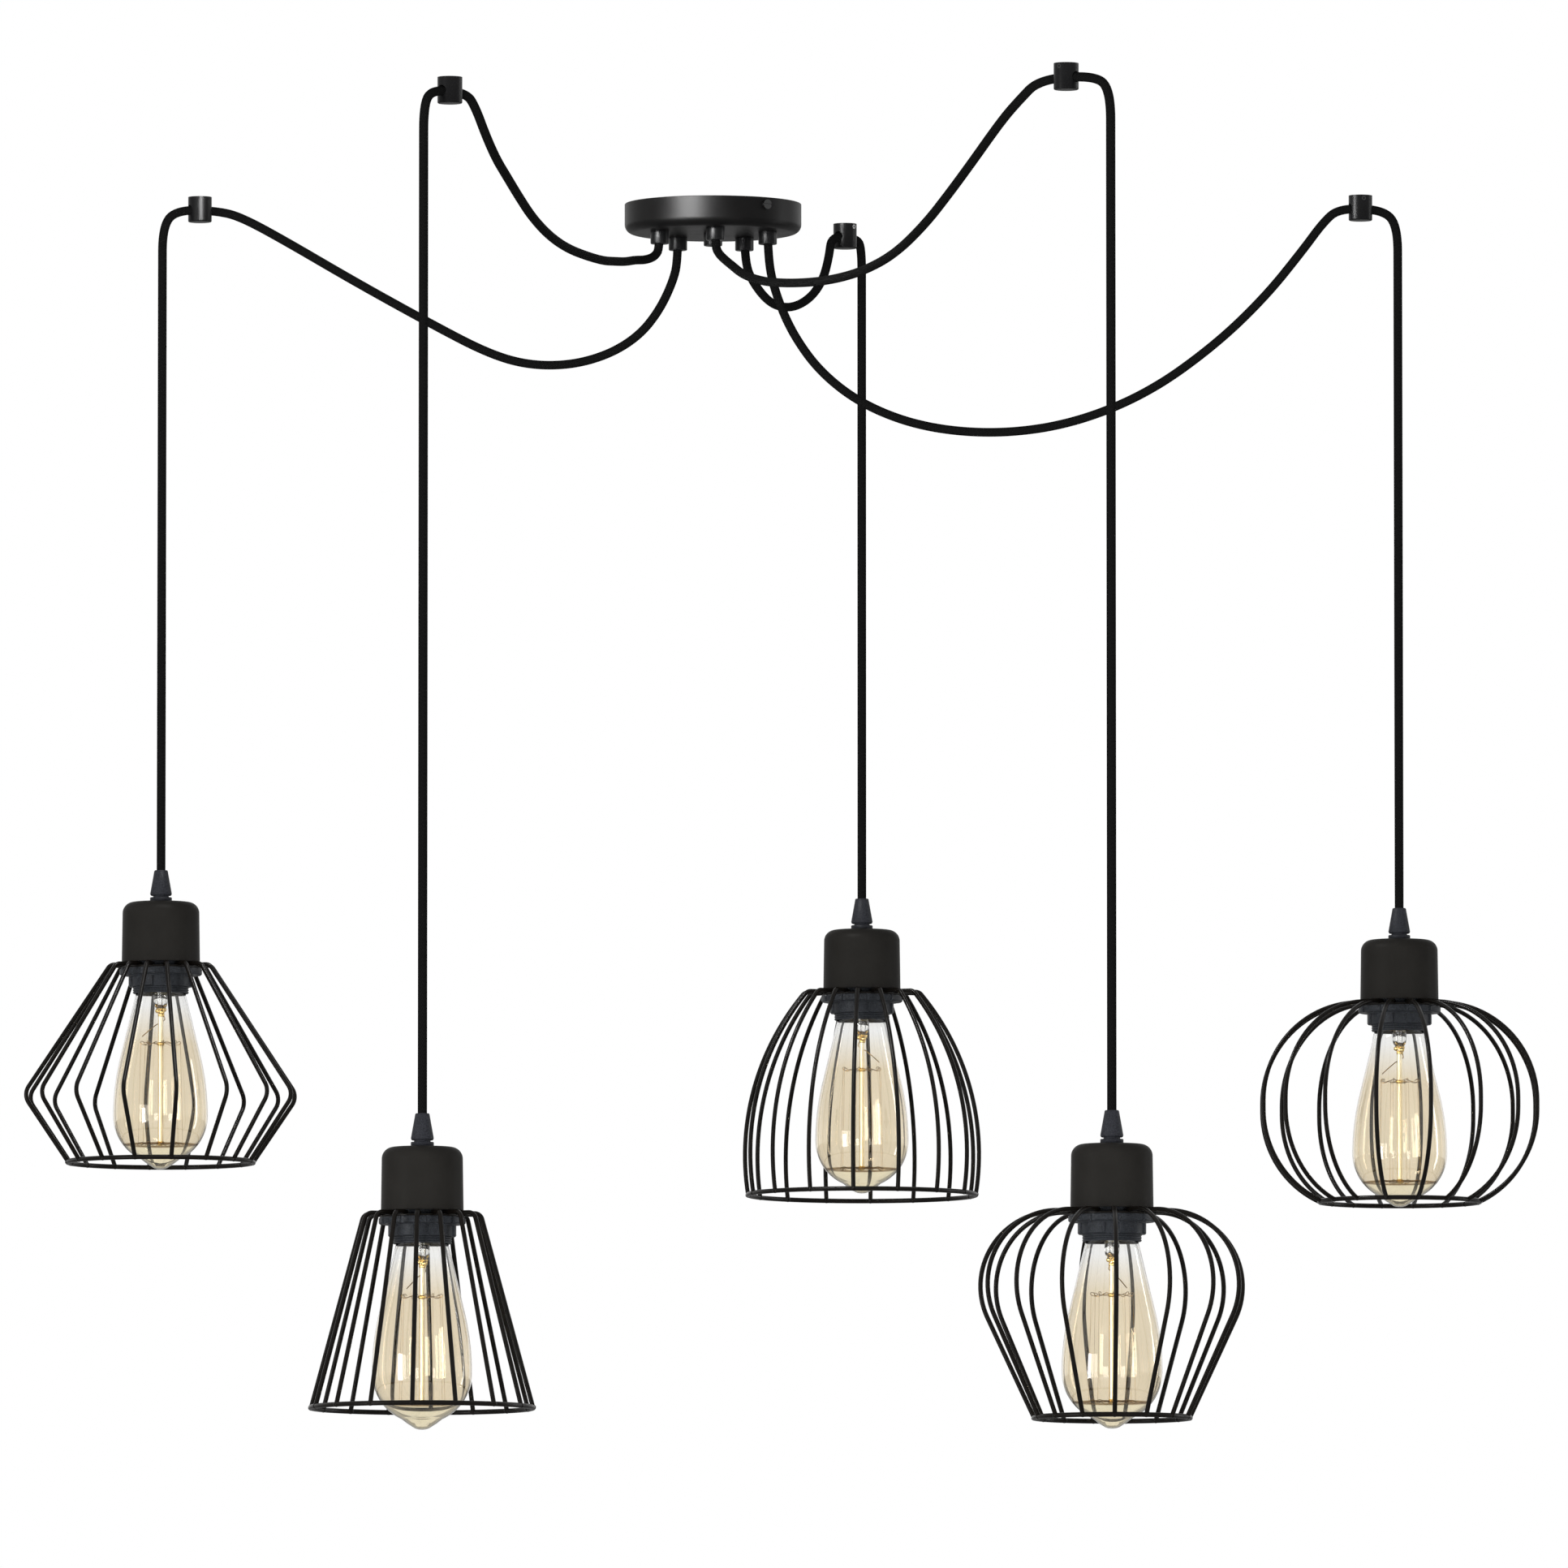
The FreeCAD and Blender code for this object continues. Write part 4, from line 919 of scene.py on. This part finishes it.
def make_filament(lamp):
    """Two crowns of fine supports with hooked ends, the strands between them and a loose lead."""
    mesh = bmesh.new()
    bearings = [BULB_TURNS[lamp] + 360 * index / CROWN_COUNT for index in range(CROWN_COUNT)]
    crowns = ((LIP_Z - CROWN_TOP, CROWN_TOP_R, HOOK_H), (LIP_Z - CROWN_FOOT, CROWN_FOOT_R, -HOOK_H))
    for level, reach, hook in crowns:
        for index, bearing in enumerate(bearings):
            wave = math.sin(index * 2.1 + lamp)
            rises = (0, 0.6 + wave, 0.2, -0.5, -0.2, 0.6, 1.3, 1.2, 0.5)
            line = []
            for share, rise in zip(SUPPORT_SHARES, rises):
                height = Vector((0, 0, level + hook * rise))
                line.append((polar(reach * share, bearing + 3 * wave * share) + height) * MM)
            add_tube(mesh, line, SUPPORT_R * MM, 6)
    for bearing in bearings:
        top = polar(CROWN_TOP_R * 0.97, bearing) + Vector((0, 0, LIP_Z - CROWN_TOP + 1))
        foot = polar(CROWN_FOOT_R * 0.97, bearing) + Vector((0, 0, LIP_Z - CROWN_FOOT - 1))
        line = [top.lerp(foot, step / 8) * MM for step in range(9)]
        add_tube(mesh, line, STRAND_R * MM, 6)
    sweep = Matrix.Rotation(math.radians(LEAD_TURNS[lamp]), 3, "Z")
    start = LIP_Z - STEM_TIP + 1
    add_tube(mesh, [(sweep @ Vector((x, y, start - z))) * MM for x, y, z in LEAD_LINE], LEAD_R * MM, 8)
    lamp_piece(mesh, "filament", lamp, "filament", None, sharp=60, body="bulb")


# Ceiling
def make_canopy():
    """Pan with a soft rolled edge."""
    edge = CANOPY_EDGE_R
    inner = edge - CANOPY_WALL
    floor = CANOPY_WALL - CANOPY_H
    outline = [(CANOPY_R - CANOPY_WALL, 0), (CANOPY_R - CANOPY_LIP, 0), (CANOPY_R, -CANOPY_LIP)]
    outline += arc(CANOPY_R - edge, edge - CANOPY_H, edge, 0, -90, 12)
    outline += [(40.0, -CANOPY_H), (20.0, -CANOPY_H), (0.0, -CANOPY_H), (0.0, floor)]
    outline += arc(CANOPY_R - edge, edge - CANOPY_H, inner, -90, 0, 10)
    mesh = bmesh.new()
    add_lathe(mesh, outline, sides=160)
    finished(mesh, "canopy_shell", PAINTS["canopy_paint"], "ceiling_set", ["canopy_cup"])


def make_glands():
    """Six cord outlets with a flat foot and a rounded mouth."""
    foot = -CANOPY_H - GLAND_H
    outline = [
        (GLAND_BORE_R, GLAND_TOP_Z), (GLAND_NECK_R, GLAND_TOP_Z), (GLAND_NECK_R, -CANOPY_H),
        (GLAND_R, -CANOPY_H), (GLAND_R, foot + 0.7), (GLAND_R - 0.2, foot + 0.2),
        (GLAND_R - 0.7, foot), (GLAND_BORE_R + 0.3, foot), (GLAND_BORE_R, foot + 0.3),
    ]
    ring = [polar(GLAND_CIRCLE_R, bearing) * MM for bearing in SWAG_BEARINGS.values()]
    places = [Vector((0, 0, 0))] + ring
    mesh = bmesh.new()
    for place in places:
        before = set(mesh.verts)
        add_lathe(mesh, outline, sides=48)
        fresh = [vert for vert in mesh.verts if vert not in before]
        bmesh.ops.translate(mesh, vec=place, verts=fresh)
    finished(mesh, "gland_set", PAINTS["gland_plastic"], "ceiling_set", ["cord_glands"])


def make_holders():
    """Glossy knobs on the ceiling, bored across for the cord."""
    edge = HOLDER_EDGE_R
    outline = [(HOLDER_R, 0), (HOLDER_R, edge - HOLDER_H)]
    outline += arc(HOLDER_R - edge, edge - HOLDER_H, edge, 0, -90, 6)[1:]
    outline += [(HOLDER_R / 2, -HOLDER_H), (0.0, -HOLDER_H), (0.0, -BASE_RECESS_H),
                (BASE_RECESS_R, -BASE_RECESS_H), (BASE_RECESS_R, 0)]
    for lamp in LAMPS:
        middle, way = bore(lamp)
        mesh = bmesh.new()
        add_lathe(mesh, outline, sides=72)
        knob = loose(mesh, "knob")
        mesh = bmesh.new()
        reach = way * (HOLDER_R + HOLDER_DRILL_PAST) * MM
        level = Vector((0, 0, HOLDER_BORE_Z * MM))
        add_tube(mesh, [level - reach, level + reach], HOLDER_BORE_R * MM, 48)
        drill = loose(mesh, "drill")
        carve = knob.modifiers.new("carve", "BOOLEAN")
        carve.operation = "DIFFERENCE"
        carve.object = drill
        bpy.context.view_layer.update()
        view = bpy.context.evaluated_depsgraph_get()
        carved = bpy.data.meshes.new_from_object(knob.evaluated_get(view))
        mesh = bmesh.new()
        mesh.from_mesh(carved)
        for spent in (knob, drill):
            bpy.data.objects.remove(spent)
        bpy.data.meshes.remove(carved)
        place = Vector((middle.x, middle.y, 0))
        nodes = ["cord_holders"] if lamp == LAMPS[0] else []
        finished(mesh, "knob_%d" % lamp, PAINTS["holder_paint"], "ceiling_set", nodes,
                 place, 30)


def loose(mesh, name):
    """Object made from a mesh, for a cut."""
    data = bpy.data.meshes.new(name)
    bmesh.ops.recalc_face_normals(mesh, faces=mesh.faces)
    mesh.to_mesh(data)
    mesh.free()
    made = bpy.data.objects.new(name, data)
    bpy.context.scene.collection.objects.link(made)
    return made


def dress_nodes():
    """Paints the solids that stay."""
    kept = {
        "mounting_bracket": "bracket_steel", "side_screws": "screw_black", "terminal_block": "block_plastic",
        "canopy_wiring": "conductor_sleeve", "gland_nuts": "gland_plastic", "holder_bases": "bracket_steel",
        "holder_screws": "screw_black",
    }
    for lamp in LAMPS:
        kept["bulb_cap_%d" % lamp] = "bulb_brass"
    for name, paint in kept.items():
        data = frame["nodes"][name].data
        data.materials.clear()
        data.materials.append(PAINTS[paint])


# Studio
def make_floor():
    """Pale floor well under the lamps, open to a camera below it."""
    mesh = bmesh.new()
    bmesh.ops.create_circle(mesh, cap_ends=True, segments=96, radius=FLOOR_R)
    data = bpy.data.meshes.new("studio_floor")
    mesh.to_mesh(data)
    mesh.free()
    paint = Paint("floor_paint", (FLOOR_GREY, FLOOR_GREY, FLOOR_GREY), 0.9)
    paint.set("Specular IOR Level", 0.1)
    output = paint.tree.nodes["Material Output"]
    clear = paint.node("ShaderNodeBsdfTransparent")
    mix = paint.node("ShaderNodeMixShader")
    paint.link(paint.node("ShaderNodeNewGeometry").outputs["Backfacing"], mix.inputs[0])
    paint.link(paint.shader.outputs[0], mix.inputs[1])
    paint.link(clear.outputs[0], mix.inputs[2])
    paint.link(mix.outputs[0], output.inputs["Surface"])
    data.materials.append(paint.material)
    floor = bpy.data.objects.new("studio_floor", data)
    floor.location = (0, 0, FLOOR_Z)
    bpy.context.scene.collection.objects.link(floor)


def make_world():
    """White surroundings for the camera, reflections and glass, and a soft level for plain surfaces."""
    world = bpy.data.worlds.new("studio")
    bpy.context.scene.world = world
    world.use_nodes = True
    tree = world.node_tree
    back = tree.nodes["Background"]
    back.inputs["Color"].default_value = (1, 1, 1, 1)
    rays = tree.nodes.new("ShaderNodeLightPath")
    total = rays.outputs["Is Camera Ray"]
    for kind in ("Is Glossy Ray", "Is Transmission Ray"):
        join = tree.nodes.new("ShaderNodeMath")
        join.operation = "MAXIMUM"
        tree.links.new(total, join.inputs[0])
        tree.links.new(rays.outputs[kind], join.inputs[1])
        total = join.outputs[0]
    level = tree.nodes.new("ShaderNodeMapRange")
    level.inputs["To Min"].default_value = WORLD_LEVEL
    level.inputs["To Max"].default_value = 1.0
    tree.links.new(total, level.inputs["Value"])
    tree.links.new(level.outputs["Result"], back.inputs["Strength"])


def make_light(name, aim, azimuth, elevation, away, width, height, power):
    """Soft box that faces a point. Its azimuth runs to the right from the camera's side, in degrees."""
    data = bpy.data.lights.new(name, "AREA")
    data.shape = "RECTANGLE"
    data.size = width
    data.size_y = height
    data.energy = power
    light = bpy.data.objects.new(name, data)
    bpy.context.scene.collection.objects.link(light)
    turn = math.radians(azimuth)
    rise = math.radians(elevation)
    back = Vector((math.sin(turn) * math.cos(rise), -math.cos(turn) * math.cos(rise), math.sin(rise)))
    light.location = Vector(aim) + back * away
    light.rotation_euler = (-back).to_track_quat("-Z", "Y").to_euler()
    light.visible_camera = False
    return light


def make_camera():
    """The photograph's camera."""
    data = bpy.data.cameras.new("photo_camera")
    data.lens = CAMERA_LENS
    data.sensor_width = SENSOR
    data.clip_end = CAMERA_REACH
    camera = bpy.data.objects.new("photo_camera", data)
    camera.location = CAMERA_PLACE
    camera.rotation_euler = (math.radians(90 + CAMERA_PITCH), 0, 0)
    bpy.context.scene.collection.objects.link(camera)
    bpy.context.scene.camera = camera


def main():
    """Camera, cords, lamps, ceiling pieces and studio."""
    bpy.context.scene.view_settings.view_transform = "Standard"
    make_camera()
    make_cords()
    for lamp in LAMPS:
        make_cage(lamp)
        make_cup(lamp)
        make_grip(lamp)
        make_shade_ring(lamp)
        make_lampholder(lamp)
        make_envelope(lamp)
        make_stem(lamp)
        make_beads(lamp)
        make_filament(lamp)
    make_canopy()
    make_glands()
    make_holders()
    dress_nodes()
    make_floor()
    make_world()
    for box in BOXES:
        make_light(*box).visible_glossy = False
    for window in WINDOWS:
        make_light(*window).visible_diffuse = False


main()
